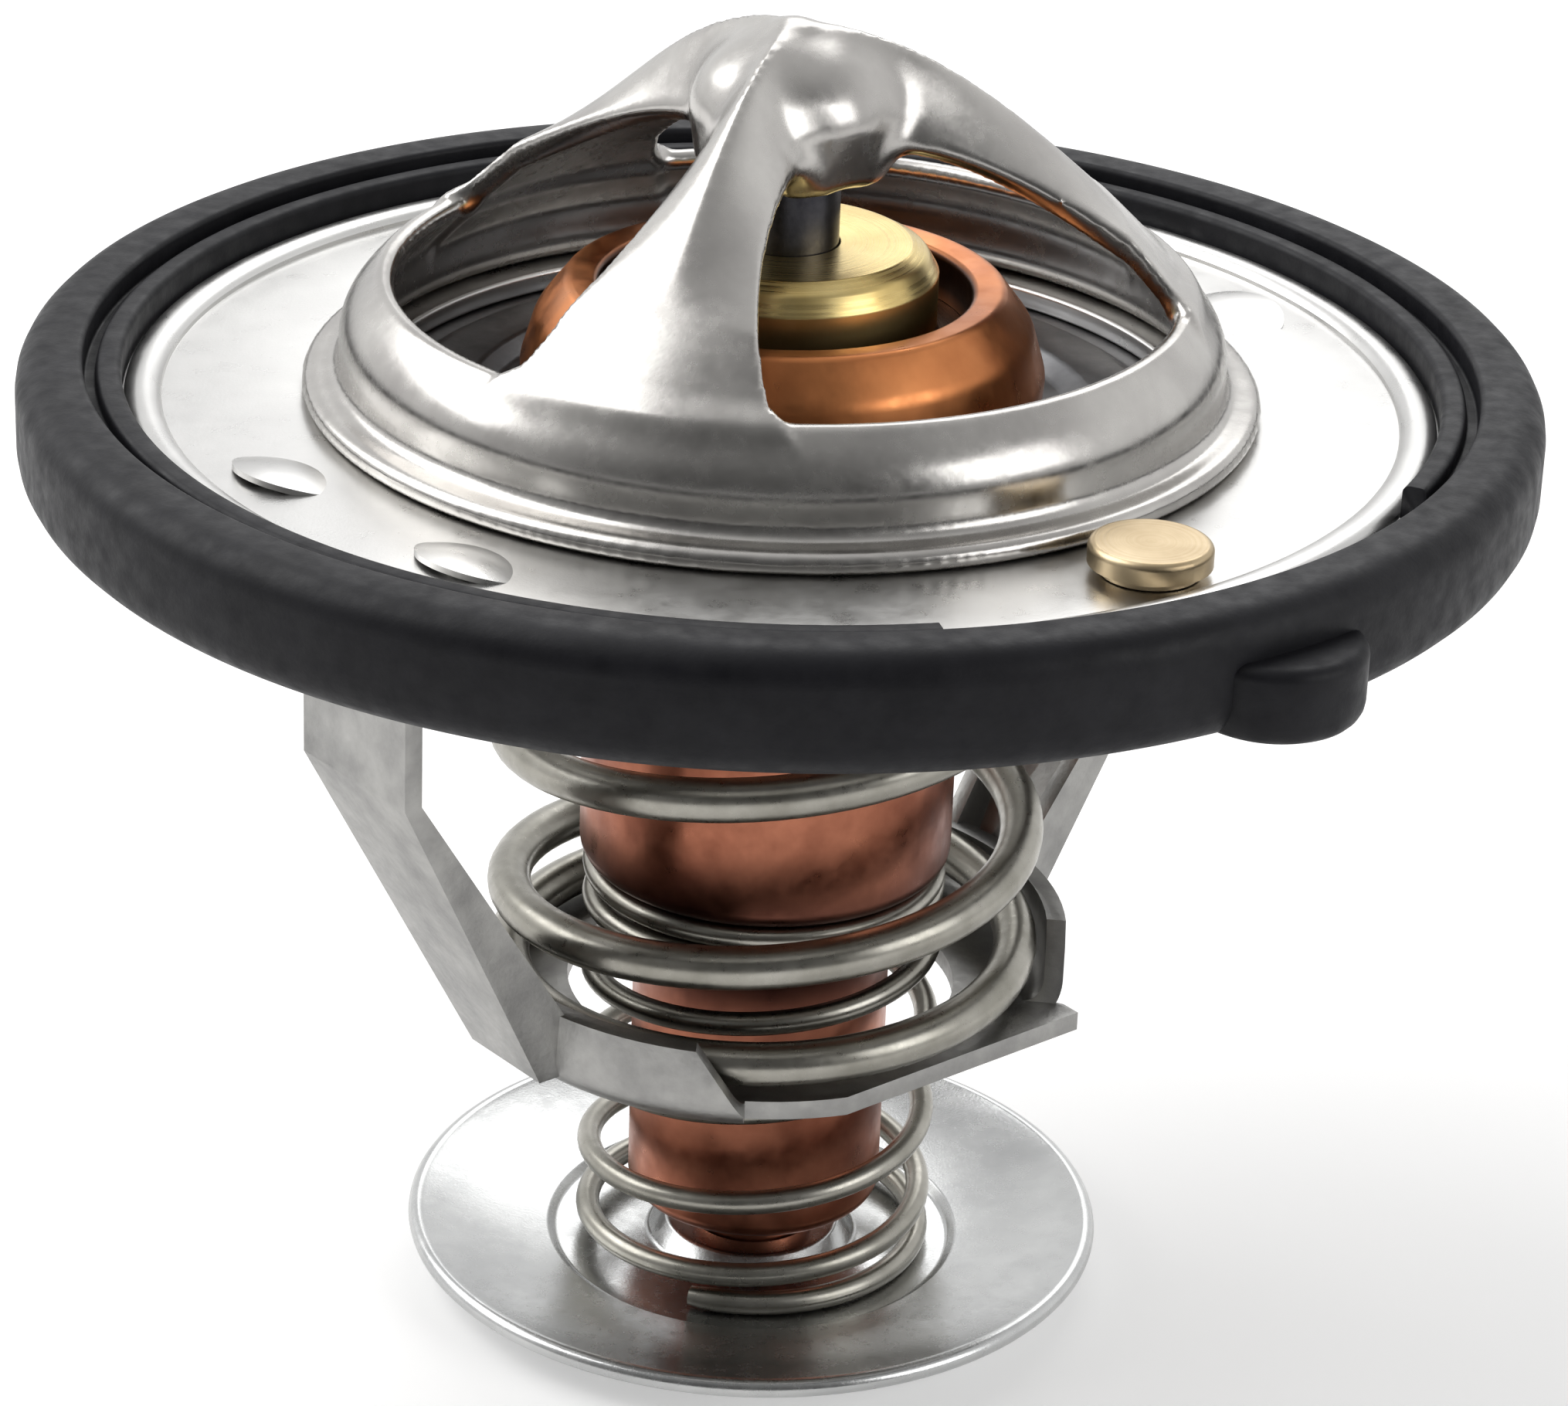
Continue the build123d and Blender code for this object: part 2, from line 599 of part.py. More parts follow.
def piston_guide():
    """Turned brass guide with a rounded shoulder, a clamping flange and a washer pocket."""
    flange_top = CASE_LEDGE + GUIDE_FLANGE_HEIGHT
    shoulder_z = GUIDE_TOP - GUIDE_SHOULDER
    bend = sin(radians(45))
    shoulder = ThreePointArc(
        (GUIDE_RADIUS, shoulder_z),
        (GUIDE_RADIUS - GUIDE_SHOULDER * (1 - bend), GUIDE_TOP - GUIDE_SHOULDER * (1 - bend)),
        (GUIDE_RADIUS - GUIDE_SHOULDER, GUIDE_TOP),
    )
    pocket_top = CASE_LEDGE + WASHER_HEIGHT
    return turned(
        Line((WASHER_RADIUS, CASE_LEDGE), (GUIDE_FLANGE_RADIUS, CASE_LEDGE)),
        Line((GUIDE_FLANGE_RADIUS, CASE_LEDGE), (GUIDE_FLANGE_RADIUS, flange_top)),
        Line((GUIDE_FLANGE_RADIUS, flange_top), (GUIDE_RADIUS, flange_top)),
        Line((GUIDE_RADIUS, flange_top), shoulder @ 0),
        shoulder,
        Line(shoulder @ 1, (GUIDE_BORE, GUIDE_TOP)),
        Line((GUIDE_BORE, GUIDE_TOP), (GUIDE_BORE, pocket_top)),
        Line((GUIDE_BORE, pocket_top), (WASHER_RADIUS, pocket_top)),
        Line((WASHER_RADIUS, pocket_top), (WASHER_RADIUS, CASE_LEDGE)),
    )


def backup_washer():
    """Hard washer that keeps the sleeve from squeezing into the guide."""
    return tube(WASHER_RADIUS, GUIDE_BORE, CASE_LEDGE, CASE_LEDGE + WASHER_HEIGHT)


def rubber_sleeve():
    """Rubber sleeve round the piston, clamped by its flange between guide and wax."""
    return ring(
        [
            (0, SLEEVE_BOTTOM),
            (SLEEVE_RADIUS, SLEEVE_BOTTOM),
            (SLEEVE_RADIUS, SLEEVE_FLANGE_BOTTOM),
            (CASE_BORE, SLEEVE_FLANGE_BOTTOM),
            (CASE_BORE, CASE_LEDGE),
            (SLEEVE_BORE, CASE_LEDGE),
            (SLEEVE_BORE, SLEEVE_BOTTOM + SLEEVE_FLOOR),
            (0, SLEEVE_BOTTOM + SLEEVE_FLOOR),
        ]
    )


def wax_charge():
    """The wax that fills the case round and below the sleeve."""
    head_top = CASE_FLOOR + STEM_HEAD_HEIGHT
    fill = ring(
        [
            (0, head_top),
            (STEM_HEAD_RADIUS, head_top),
            (STEM_HEAD_RADIUS, CASE_FLOOR),
            (TAIL_BORE, CASE_FLOOR),
            (TAIL_BORE, BODY_BOTTOM + CASE_WALL),
            (CASE_BORE, BODY_BOTTOM + CASE_WALL),
            (CASE_BORE, SLEEVE_FLANGE_BOTTOM),
            (0, SLEEVE_FLANGE_BOTTOM),
        ]
    )
    sleeve_space = Pos(0, 0, (SLEEVE_BOTTOM + CASE_LEDGE) / 2) * Cylinder(
        SLEEVE_RADIUS, CASE_LEDGE - SLEEVE_BOTTOM
    )
    return fill - sleeve_space


def main_valve_disc():
    """Pressed disc with a raised annular crown; its edge closes on the underside of the flange."""
    crown = VALVE_TOP + VALVE_CROWN_HEIGHT
    ramp = 1.5 * VALVE_CROWN_HEIGHT
    return ring(
        [
            (BODY_RADIUS, VALVE_BOTTOM),
            (VALVE_HUB_RADIUS, VALVE_BOTTOM),
            (VALVE_HUB_RADIUS + ramp, VALVE_BOTTOM + VALVE_CROWN_HEIGHT),
            (VALVE_CROWN_RADIUS - ramp, VALVE_BOTTOM + VALVE_CROWN_HEIGHT),
            (VALVE_CROWN_RADIUS, VALVE_BOTTOM),
            (VALVE_RADIUS, VALVE_BOTTOM),
            (VALVE_RADIUS, VALVE_TOP),
            (VALVE_CROWN_RADIUS + ramp / 2, VALVE_TOP),
            (VALVE_CROWN_RADIUS - ramp / 2, crown),
            (VALVE_HUB_RADIUS + ramp / 2, crown),
            (VALVE_HUB_RADIUS - ramp / 2, VALVE_TOP),
            (BODY_RADIUS, VALVE_TOP),
        ]
    )


# ---- Lower frame ---------------------------------------------------------------------


def cup_end():
    """One curved end wall with its bend, on the +X side, with slanted ends."""
    bend_out = CUP_BEND_RADIUS + FRAME_SHEET
    start = CUP_RADIUS - bend_out
    bend_z = PLATE_BOTTOM + bend_out
    top = PLATE_TOP + CUP_HEIGHT
    inner = CUP_RADIUS - FRAME_SHEET
    half = sin(radians(45))
    outline = make_face(
        Curve()
        + [
            ThreePointArc(
                (start, PLATE_BOTTOM),
                (start + bend_out * half, bend_z - bend_out * half),
                (CUP_RADIUS, bend_z),
            ),
            Line((CUP_RADIUS, bend_z), (CUP_RADIUS, top)),
            Line((CUP_RADIUS, top), (inner, top)),
            Line((inner, top), (inner, bend_z)),
            ThreePointArc(
                (inner, bend_z),
                (start + CUP_BEND_RADIUS * half, bend_z - CUP_BEND_RADIUS * half),
                (start, PLATE_TOP),
            ),
            Line((start, PLATE_TOP), (start, PLATE_BOTTOM)),
        ]
    )
    wall = revolve(Plane.XZ * outline, Axis.Z, revolution_arc=2 * CUP_HALF_ANGLE)
    wall = Rot(0, 0, -CUP_HALF_ANGLE) * wall
    for side in (1, -1):
        trim = Pos(0, side * CUT / 2, 0) * Box(CUT, CUT, CUT)
        lean = Rot(side * CUP_END_SLANT, 0, 0) * trim
        wall -= Rot(0, 0, side * CUP_HALF_ANGLE) * Pos(CUP_RADIUS, 0, PLATE_TOP) * lean
    return wall


def frame_leg():
    """One leg on the +X side: an upright head, a slanting channel and the ears at its top."""
    bend_z = FLANGE_BOTTOM - LEG_BEND_DROP
    foot_z = PLATE_TOP + LEG_FOOT_RISE
    slope = (LEG_FACE - LEG_FOOT_FACE) / (bend_z - foot_z)
    sheet_x = FRAME_SHEET * sqrt(1 + slope**2)
    toe_x = LEG_FOOT_FACE - slope * LEG_FOOT_RISE
    wall_x = CUP_RADIUS - FRAME_SHEET / 2
    cup_top = PLATE_TOP + CUP_HEIGHT
    edge_x = LEG_FOOT_FACE + slope * (cup_top - foot_z) - sheet_x - LEG_FLANGE_DEPTH
    outer = [(LEG_FACE, FLANGE_BOTTOM), (LEG_FACE, bend_z), (toe_x, PLATE_TOP)]
    body = side_plate(
        outer
        + [
            (wall_x, PLATE_TOP),
            (wall_x, cup_top),
            (edge_x, cup_top),
            (LEG_FACE - FRAME_SHEET, bend_z),
            (LEG_FACE - FRAME_SHEET, FLANGE_BOTTOM),
        ],
        LEG_HALF_WIDTH,
    )
    body &= front_plate(
        [
            (-LEG_HALF_WIDTH, FLANGE_BOTTOM),
            (-LEG_HALF_WIDTH, bend_z),
            (-LEG_FOOT_HALF_WIDTH, PLATE_TOP),
            (LEG_FOOT_HALF_WIDTH, PLATE_TOP),
            (LEG_HALF_WIDTH, bend_z),
            (LEG_HALF_WIDTH, FLANGE_BOTTOM),
        ]
    )
    pocket = side_plate(
        [
            (LEG_FACE - FRAME_SHEET, bend_z),
            (toe_x - sheet_x, PLATE_TOP),
            (CUP_RADIUS - CUT / 10, PLATE_TOP),
            (CUP_RADIUS - CUT / 10, bend_z),
        ],
        LEG_HALF_WIDTH,
    )
    pocket &= front_plate(
        [
            (FRAME_SHEET - LEG_HALF_WIDTH, bend_z),
            (FRAME_SHEET - LEG_FOOT_HALF_WIDTH, PLATE_TOP),
            (LEG_FOOT_HALF_WIDTH - FRAME_SHEET, PLATE_TOP),
            (LEG_HALF_WIDTH - FRAME_SHEET, bend_z),
        ]
    )
    body -= pocket
    head_x = LEG_FACE - FRAME_SHEET / 2
    bar = Pos(head_x, 0, FLANGE_BOTTOM - TBAR_HEIGHT / 2) * Box(
        FRAME_SHEET, 2 * TBAR_HALF_WIDTH, TBAR_HEIGHT
    )
    body += fillet(bar.edges().filter_by(Axis.X).group_by(Axis.Z)[0], TBAR_HEIGHT / 2)
    for side in (1, -1):
        body += Pos(head_x, side * BUMP_OFFSET, FLANGE_BOTTOM + EAR_RISE / 2) * Box(
            FRAME_SHEET, 2 * EAR_HALF_WIDTH, EAR_RISE
        )
    return body


def lower_frame():
    """Folded strip: a holed plate, two curved end walls and two legs up to the flange."""
    flat_radius = CUP_RADIUS - CUP_BEND_RADIUS - FRAME_SHEET
    strip = Rectangle(4 * CUP_RADIUS, 2 * PLATE_HALF_WIDTH)
    sheet = Circle(flat_radius) & strip
    ear = make_face(
        Polyline(
            (0, 0),
            (0, -PLATE_HALF_WIDTH),
            (PLATE_EAR_LENGTH, -PLATE_HALF_WIDTH),
            (PLATE_EAR_LENGTH, PLATE_EAR_WIDTH - PLATE_HALF_WIDTH),
            (PLATE_EAR_LENGTH - PLATE_EAR_WIDTH, 3 * PLATE_EAR_WIDTH - PLATE_HALF_WIDTH),
            close=True,
        )
    )
    for end in FRAME_ENDS:
        sheet += Rot(0, 0, end) * ear
    sheet -= Circle(PLATE_HOLE_RADIUS)
    frame = extrude(Pos(0, 0, PLATE_BOTTOM) * sheet, FRAME_SHEET)
    for end in FRAME_ENDS:
        frame += Rot(0, 0, end) * cup_end()
        frame += Rot(0, 0, end) * frame_leg()
    return Rot(0, 0, FRAME_ANGLE) * frame


# ---- Springs and bypass valve --------------------------------------------------------


def main_spring():
    """Compression spring between the frame plate and the main valve disc."""
    return coil(
        SPRING_RADIUS,
        SPRING_WIRE,
        PLATE_TOP,
        VALVE_BOTTOM,
        SPRING_TURNS,
        SPRING_START,
        SPRING_START_TURNS,
        SPRING_RISE_TURNS,
        SPRING_LEVEL_TURNS,
        SPRING_END_TURNS,
    )


def bypass_spring():
    """Lighter spring between the step of the case and the bypass disc."""
    return coil(
        BYPASS_RADIUS,
        BYPASS_WIRE,
        DISC_SHEET,
        BODY_BOTTOM,
        BYPASS_TURNS,
        BYPASS_START,
        BYPASS_START_TURNS,
        BYPASS_RISE_TURNS,
        BYPASS_LEVEL_TURNS,
        BYPASS_END_TURNS,
    )


def bypass_disc():
    """Shallow pressed dish with a raised hub, a recessed spring seat and a rolled rim."""
    roll = DISC_RIM_ROLL
    rim_z = DISC_RIM_TOP - roll
    step_r = DISC_RECESS_RADIUS + DISC_RECESS_STEP
    foot = DISC_HUB_RADIUS + DISC_SHEET
    dish = ring(
        [
            (STEM_HOLE_RADIUS, DISC_HUB_BOTTOM),
            (DISC_HUB_RADIUS, DISC_HUB_BOTTOM),
            (foot, 0),
            (DISC_RECESS_RADIUS, 0),
            (step_r, DISC_RECESS_STEP),
            (DISC_RADIUS - roll, rim_z - DISC_SHEET / 2),
            (DISC_RADIUS - roll, rim_z + DISC_SHEET / 2),
            (step_r, DISC_RECESS_STEP + DISC_SHEET),
            (DISC_RECESS_RADIUS, DISC_SHEET),
            (foot + DISC_SHEET / 2, DISC_SHEET),
            (DISC_HUB_RADIUS + DISC_SHEET / 2, DISC_HUB_TOP),
            (STEM_HOLE_RADIUS, DISC_HUB_TOP),
        ]
    )
    rim = Pos(0, 0, rim_z) * Torus(DISC_RADIUS - roll, roll)
    return dish + rim


def bypass_stem():
    """Headed stud through the floor of the case, grooved for the clip."""
    return ring(
        [
            (0, STEM_BOTTOM),
            (STEM_RADIUS - STEM_GAP, STEM_BOTTOM),
            (STEM_RADIUS, STEM_BOTTOM + STEM_GAP),
            (STEM_RADIUS, CLIP_BOTTOM),
            (GROOVE_RADIUS, CLIP_BOTTOM),
            (GROOVE_RADIUS, CLIP_TOP),
            (STEM_RADIUS, CLIP_TOP),
            (STEM_RADIUS, CASE_FLOOR),
            (STEM_HEAD_RADIUS, CASE_FLOOR),
            (STEM_HEAD_RADIUS, CASE_FLOOR + STEM_HEAD_HEIGHT),
            (0, CASE_FLOOR + STEM_HEAD_HEIGHT),
        ]
    )


def retaining_clip():
    """Open ring snapped into the groove under the bypass disc."""
    clip = tube(CLIP_RADIUS, GROOVE_RADIUS, CLIP_BOTTOM, CLIP_TOP)
    gap = Pos(CLIP_RADIUS, 0, CLIP_BOTTOM) * Box(2 * CLIP_RADIUS, CLIP_OPENING, CUT / 10)
    return clip - gap


# ---- Output --------------------------------------------------------------------------

PARTS = {
    "flange_plate": flange_plate,
    "bridge": bridge,
    "gasket": gasket,
    "lower_frame": lower_frame,
    "piston_pin": piston_pin,
    "vent_pin": vent_pin,
    "vent_weight": vent_weight,
    "element_case": element_case,
    "piston_guide": piston_guide,
    "backup_washer": backup_washer,
    "rubber_sleeve": rubber_sleeve,
    "wax_charge": wax_charge,
    "main_valve_disc": main_valve_disc,
    "main_spring": main_spring,
    "bypass_disc": bypass_disc,
    "bypass_spring": bypass_spring,
    "bypass_stem": bypass_stem,
    "retaining_clip": retaining_clip,
}

os.makedirs("parts", exist_ok=True)
for name, make in PARTS.items():
    export_step(make(), f"parts/{name}.step")
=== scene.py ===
from math import atan2, ceil, cos, pi, radians, sin, sqrt, tan

import bmesh
import bpy
import numpy as np
from mathutils import Matrix, Vector


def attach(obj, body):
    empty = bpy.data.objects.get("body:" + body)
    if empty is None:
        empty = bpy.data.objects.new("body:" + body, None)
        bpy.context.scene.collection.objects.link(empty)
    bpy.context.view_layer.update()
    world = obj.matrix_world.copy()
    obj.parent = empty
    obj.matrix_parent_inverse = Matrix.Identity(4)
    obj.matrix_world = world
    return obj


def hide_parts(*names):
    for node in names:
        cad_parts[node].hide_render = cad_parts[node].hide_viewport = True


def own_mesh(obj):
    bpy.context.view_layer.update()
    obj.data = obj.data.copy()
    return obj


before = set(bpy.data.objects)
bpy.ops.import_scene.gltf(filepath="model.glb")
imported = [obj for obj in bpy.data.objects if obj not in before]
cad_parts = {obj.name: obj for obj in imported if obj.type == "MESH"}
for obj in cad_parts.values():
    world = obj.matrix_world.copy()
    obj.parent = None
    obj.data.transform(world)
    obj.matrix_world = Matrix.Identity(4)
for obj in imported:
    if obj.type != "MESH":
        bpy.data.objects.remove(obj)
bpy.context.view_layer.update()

# Engine thermostat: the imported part's pieces, remade as fine meshes with their finishes.
# Lengths are written in millimetres and turned into metres where a mesh is made.

MM = 0.001
TURN = 2 * pi
STEPS_ROUND = 224

# ---- Sizes ---------------------------------------------------------------------------
# They follow the solids, apart from the flange's bumps, which are lower and a little further
# round here, and the bridge's top, which is 0.1 mm lower because the blending lifts it.

FLANGE_RADIUS = 28.0
FLANGE_SHEET = 0.9
FLANGE_TOP = 39.3
FLANGE_BOTTOM = FLANGE_TOP - FLANGE_SHEET
SEAT_RADIUS = 16.4
BEAD_RADIUS = 25.3
BEAD_HALF = 0.75
BEAD_HEIGHT = 0.5
BEAD_STEPS = 10
FLANGE_STEPS = 288
FLANGE_CREASE = 22

# Half-moon bumps: a sheared outer arc over a gap that runs inward under it. BUMP_SUNK lowers
# the whole bump; its underside and last loop end BUMP_GROUND and BUMP_ROOT under the plate's top.
BUMP_ENDS = (0, 180)
BUMP_ANGLE = 44.4
BUMP_EDGE = 22.7
BUMP_OFFSET = 5.4
BUMP_RADIUS = 2.7
BUMP_LEAD = 0.4
BUMP_HEIGHT = 0.46
BUMP_SHEET = 0.24
BUMP_GAP_DEPTH = 0.9
BUMP_SUNK = 0.01
BUMP_GROUND = 0.06
BUMP_ROOT = 0.2
BUMP_LEAST_RADIUS = 0.2
BUMP_STEPS = 64
BUMP_SHARES = (0.05, 0.25, 0.45, 0.65, 0.85, 1.0)

BRIDGE_SHEET = 0.9
BRIDGE_TOP = 54.6
BRIDGE_WALL_RADIUS = 17.6
BRIDGE_FOOT_RADIUS = 19.06
BRIDGE_WALL_TOP = 41.6
RIM_RADIUS = 15.95
RIM_Z = 44.25
RIDGE_ROUNDING = 11.0
ARM_ANGLES = (10.0, 130.0, 250.0)
ARM_NECK_HALF = 1.9
ARM_BASE_HALF = 5.7
ARM_FLARE = 3.5
ARM_CROWN_RADIUS = 22.0
ARM_FLANK_POWER = 1.5
CURL_DEPTH = 5.6
CURL_END = 13.2
SOCKET_CROWN_RADIUS = 4.0
SOCKET_CROWN_DROP = 3.5
SOCKET_CROWN_SUNK = 0.35
SOCKET_TAPER = 0.17
SOCKET_TAPER_DEPTH = 3
SOCKET_BOTTOM = 48.8
SOCKET_MOUTH_FLARE = 0.6
SOCKET_MOUTH_DEPTH = 1.2

# How far the arms' sheet is followed, and where it is cut off near the socket and the rim.
ARM_RUN_END = 18
ARM_FALL_PASSES = 5
ARM_FALL_LIMIT = 7
ARM_SHARE_LIMIT = 1.3
ARM_BEHIND_APEX = 0.5
ARM_PAST_RIM = 0.3
APEX_DIP = 0.25
APEX_DIP_REACH = 3
# The lowest line of the arms' sides: level near the socket, then falling outward.
SKIRT_RISE = 0.35
SKIRT_START = 5
SKIRT_REACH = 9
SKIRT_FALL = 2.5
SKIRT_SLANT = 0.6

# How softly the stamping's forms run into each other, and the grid that finds its skin.
ARM_BLEND = 0.6
THIMBLE_BLEND = 1.1
FOOT_BLEND = 0.9
EDGE_ROUNDING = 0.3
BORE_ROUNDING = 0.1
FOOT_BEND = 1.0
SHOULDER_OVERLAP = 0.35
BEND_STEPS = 6
SHOULDER_STEPS = 12
BRIDGE_CELL = 0.21
BRIDGE_MARGIN = 0.4
MARGIN_BELOW = 0.5
MARGIN_ABOVE = 0.6
BRIDGE_CREASE = 75

GASKET_RADIUS = 30.25
GASKET_INNER_RADIUS = 26.1
GASKET_BOTTOM = 36.2
GASKET_TOP = 41.1
GASKET_LIP_TOP = 40.7
GASKET_LIP_OUTER = 27.1
GASKET_RIDGE_INNER = 27.6
GASKET_GROOVE_Z = 40.1
RELIEF_HALF_ANGLE = 25.0
RELIEF_EASE = 0.6
RELIEF_LIP_IN = 1.35
RELIEF_LIP_OUT = 0.45
RELIEF_LIP_RISE = 0.05
RELIEF_GROOVE_RISE = 0.04
GASKET_STEPS = 360
TAB_STEPS = 72
TAB_ROOT = 0.8
TAB_RADIUS = 3.4
TAB_REACH = 2.0
TAB_HEIGHT = 3.1

VENT_ANGLE = -51.0
VENT_RADIUS = 22.0
VENT_HOLE_RADIUS = 1.4
VENT_HOLE_STEPS = 48

PIN_RADIUS = 2.05
PIN_TOP = 52.2
PIN_BOTTOM = 23.4
PIN_GAP = 0.05
PIN_STEPS = 96

# Clearance between pieces that touch.
FIT = 0.02

CASE_WALL = 0.8
BODY_RADIUS = 7.7
BODY_BOTTOM = 18.9
TAIL_RADIUS = 5.35
TAIL_BOTTOM = 3.2
CASE_HOLE_RADIUS = 2.5
COLLAR_RADIUS = 10.45
COLLAR_LIP_RADIUS = 8.55
COLLAR_LIP_INNER = 7.4
COLLAR_TOP = 44.0
COLLAR_BULGE = 0.02
COLLAR_BULGE_Z = 40.5
GUIDE_TOP = 45.7
GUIDE_RADIUS = 6.05
GUIDE_SHOULDER = 1.1
GUIDE_FLANGE_RADIUS = 8.6
GUIDE_FLANGE_TOP = 42.0
GUIDE_RECESS_RADIUS = 4.0
GUIDE_RECESS_HEIGHT = 0.8
GUIDE_STEPS = 160

# Heights and radii between which the copper and the brass change their tone: real tarnish on the copper
# below the flange, painted shade at the copper's step and inside its lip, and painted shade on the guide's
# brass below the collar's lip.
TARNISH_HEIGHTS = (33.0, 39.5)
PAINTED_SHADE_LOW_HEIGHTS = (12.0, 15.5)
PAINTED_SHADE_HIGH_HEIGHTS = (18.5, 22.5)
RECESS_SHADE_HEIGHTS = (41.4, 42.6)
RECESS_SHADE_RADII = (7.45, 7.65)
# Painted shade: the guide's brass turns near black below this height, under the collar's lip.
GUIDE_SHADE_BELOW = GUIDE_FLANGE_TOP + 0.6
SHADE_FADE = 0.3

VALVE_TOP = FLANGE_BOTTOM
VALVE_SHEET = 0.9
VALVE_RADIUS = 17.6
VALVE_CROWN_RADIUS = 15.2
VALVE_HUB_RADIUS = 12.2
VALVE_CROWN_HEIGHT = 0.55
VALVE_SLOPE = 0.8
VALVE_SEAT_GAP = 0.01

SPRING_WIRE = 1.8
SPRING_RADIUS = 10.6
SPRING_BOTTOM = 13.13
SPRING_TOP = 37.47
SPRING_TURNS = 4.32
SPRING_START = -630.0
SPRING_LAW = (0.05, 2.6, 0.2, 0.49)
SPRING_CREASE = 60
BYPASS_WIRE = 1.0
BYPASS_RADIUS = 7.05
BYPASS_BOTTOM = 0.78
BYPASS_TOP = 18.87
BYPASS_TURNS = 6.4
BYPASS_START = -110.0
BYPASS_LAW = (0.05, 2.45, 2.85, 0.44)

DISC_RADIUS = 14.7
DISC_SHEET = 0.75
DISC_RIM_TOP = 2.1
DISC_ROLL = 0.4
DISC_ROLL_START = -140
DISC_ROLL_SWEEP = 280
DISC_ROLL_STEPS = 12
DISC_RECESS_RADIUS = 8.4
DISC_STEP = 0.35
DISC_HUB_RADIUS = 3.3
DISC_HUB_TOP = 1.6
STEM_HOLE_RADIUS = 2.6

FRAME_BEVEL = 0.16
FRAME_CREASE = 40

# ---- Mesh helpers --------------------------------------------------------------------

# Points nearer than this are one, in metres; a fillet takes at most this share of a side.
WELD_DISTANCE = 1e-7
FILLET_SHARE = 0.48


def rounded(corners, steps=5):
    """Closed outline from (radius, height, fillet) corners, each fillet a true arc."""
    outline = []
    count = len(corners)
    for index, (radius, height, fillet) in enumerate(corners):
        here = Vector((radius, height))
        before = Vector(corners[index - 1][:2]) - here
        after = Vector(corners[(index + 1) % count][:2]) - here
        if fillet <= 0:
            outline.append(here)
            continue
        half = before.angle(after) / 2
        reach = fillet / tan(half)
        limit = FILLET_SHARE * min(before.length, after.length)
        if reach > limit:
            reach = limit
            fillet = reach * tan(half)
        centre = here + (before.normalized() + after.normalized()).normalized() * (fillet / sin(half))
        start = here + before.normalized() * reach - centre
        end = here + after.normalized() * reach - centre
        sweep = atan2(start.x * end.y - start.y * end.x, start.dot(end))
        for step in range(steps + 1):
            angle = sweep * step / steps
            x = start.x * cos(angle) - start.y * sin(angle)
            y = start.x * sin(angle) + start.y * cos(angle)
            outline.append(centre + Vector((x, y)))
    return outline


def loops_mesh(name, loops, closed_path, capped):
    """Mesh through a list of closed loops of equally many points, in millimetres."""
    mesh = bpy.data.meshes.new(name)
    size = len(loops[0])
    verts = [tuple(MM * c for c in point) for loop in loops for point in loop]
    faces = []
    spans = len(loops) if closed_path else len(loops) - 1
    for i in range(spans):
        a, b = i * size, ((i + 1) % len(loops)) * size
        for j in range(size):
            k = (j + 1) % size
            faces.append((a + j, a + k, b + k, b + j))
    if capped:
        faces.append(tuple(range(size))[::-1])
        faces.append(tuple(range((len(loops) - 1) * size, len(loops) * size)))
    mesh.from_pydata(verts, [], faces)
    return tidy(mesh)


def tidy(mesh):
    """Merges doubled points and turns all faces outward."""
    work = bmesh.new()
    work.from_mesh(mesh)
    bmesh.ops.remove_doubles(work, verts=work.verts, dist=WELD_DISTANCE)
    bmesh.ops.recalc_face_normals(work, faces=work.faces)
    work.to_mesh(mesh)
    work.free()
    return mesh


def lathe(name, outline, steps=STEPS_ROUND):
    """A closed (radius, height) outline turned round the main axis."""
    loops = []
    for step in range(steps):
        angle = TURN * step / steps
        loops.append([(p[0] * cos(angle), p[0] * sin(angle), p[1]) for p in outline])
    return loops_mesh(name, loops, True, False)


def shaded(mesh, angle=32):
    """Smooth shading that breaks at edges sharper than the angle."""
    mesh.shade_smooth()
    mesh.set_sharp_from_angle(angle=radians(angle))
    return mesh


def applied(mesh, set_up, tools=()):
    """The mesh after modifiers that set_up adds; the tool objects are removed afterwards."""
    obj = bpy.data.objects.new("work", mesh)
    bpy.context.scene.collection.objects.link(obj)
    set_up(obj)
    bpy.context.view_layer.update()
    graph = bpy.context.evaluated_depsgraph_get()
    result = bpy.data.meshes.new_from_object(obj.evaluated_get(graph))
    for done in (obj, *tools):
        bpy.data.objects.remove(done)
    return result


def tool(mesh):
    """A helper object that a boolean uses."""
    obj = bpy.data.objects.new("tool", mesh)
    bpy.context.scene.collection.objects.link(obj)
    return obj


def combined(mesh, others, operation):
    """Boolean of the mesh with other meshes, one after another."""
    tools = [tool(other) for other in others]

    def set_up(obj):
        for other in tools:
            modifier = obj.modifiers.new("cut", "BOOLEAN")
            modifier.operation = operation
            modifier.solver = "EXACT"
            modifier.object = other

    return applied(mesh, set_up, tools)


# Grid cells, and the steps that draw the skin on to its field.
CELL_CORNERS = [(a, b, c) for a in (0, 1) for b in (0, 1) for c in (0, 1)]
PROBE = 0.02
SLOPE_FLOOR = 0.1
STEP_LIMIT = 0.4
DRAW_PASSES = 4
SMOOTH_PASSES = 3


def at_corner(array, corner):
    """The values that all grid cells have at one of their corners."""
    return array[tuple(slice(c, n - 1 + c) for c, n in zip(corner, array.shape))]


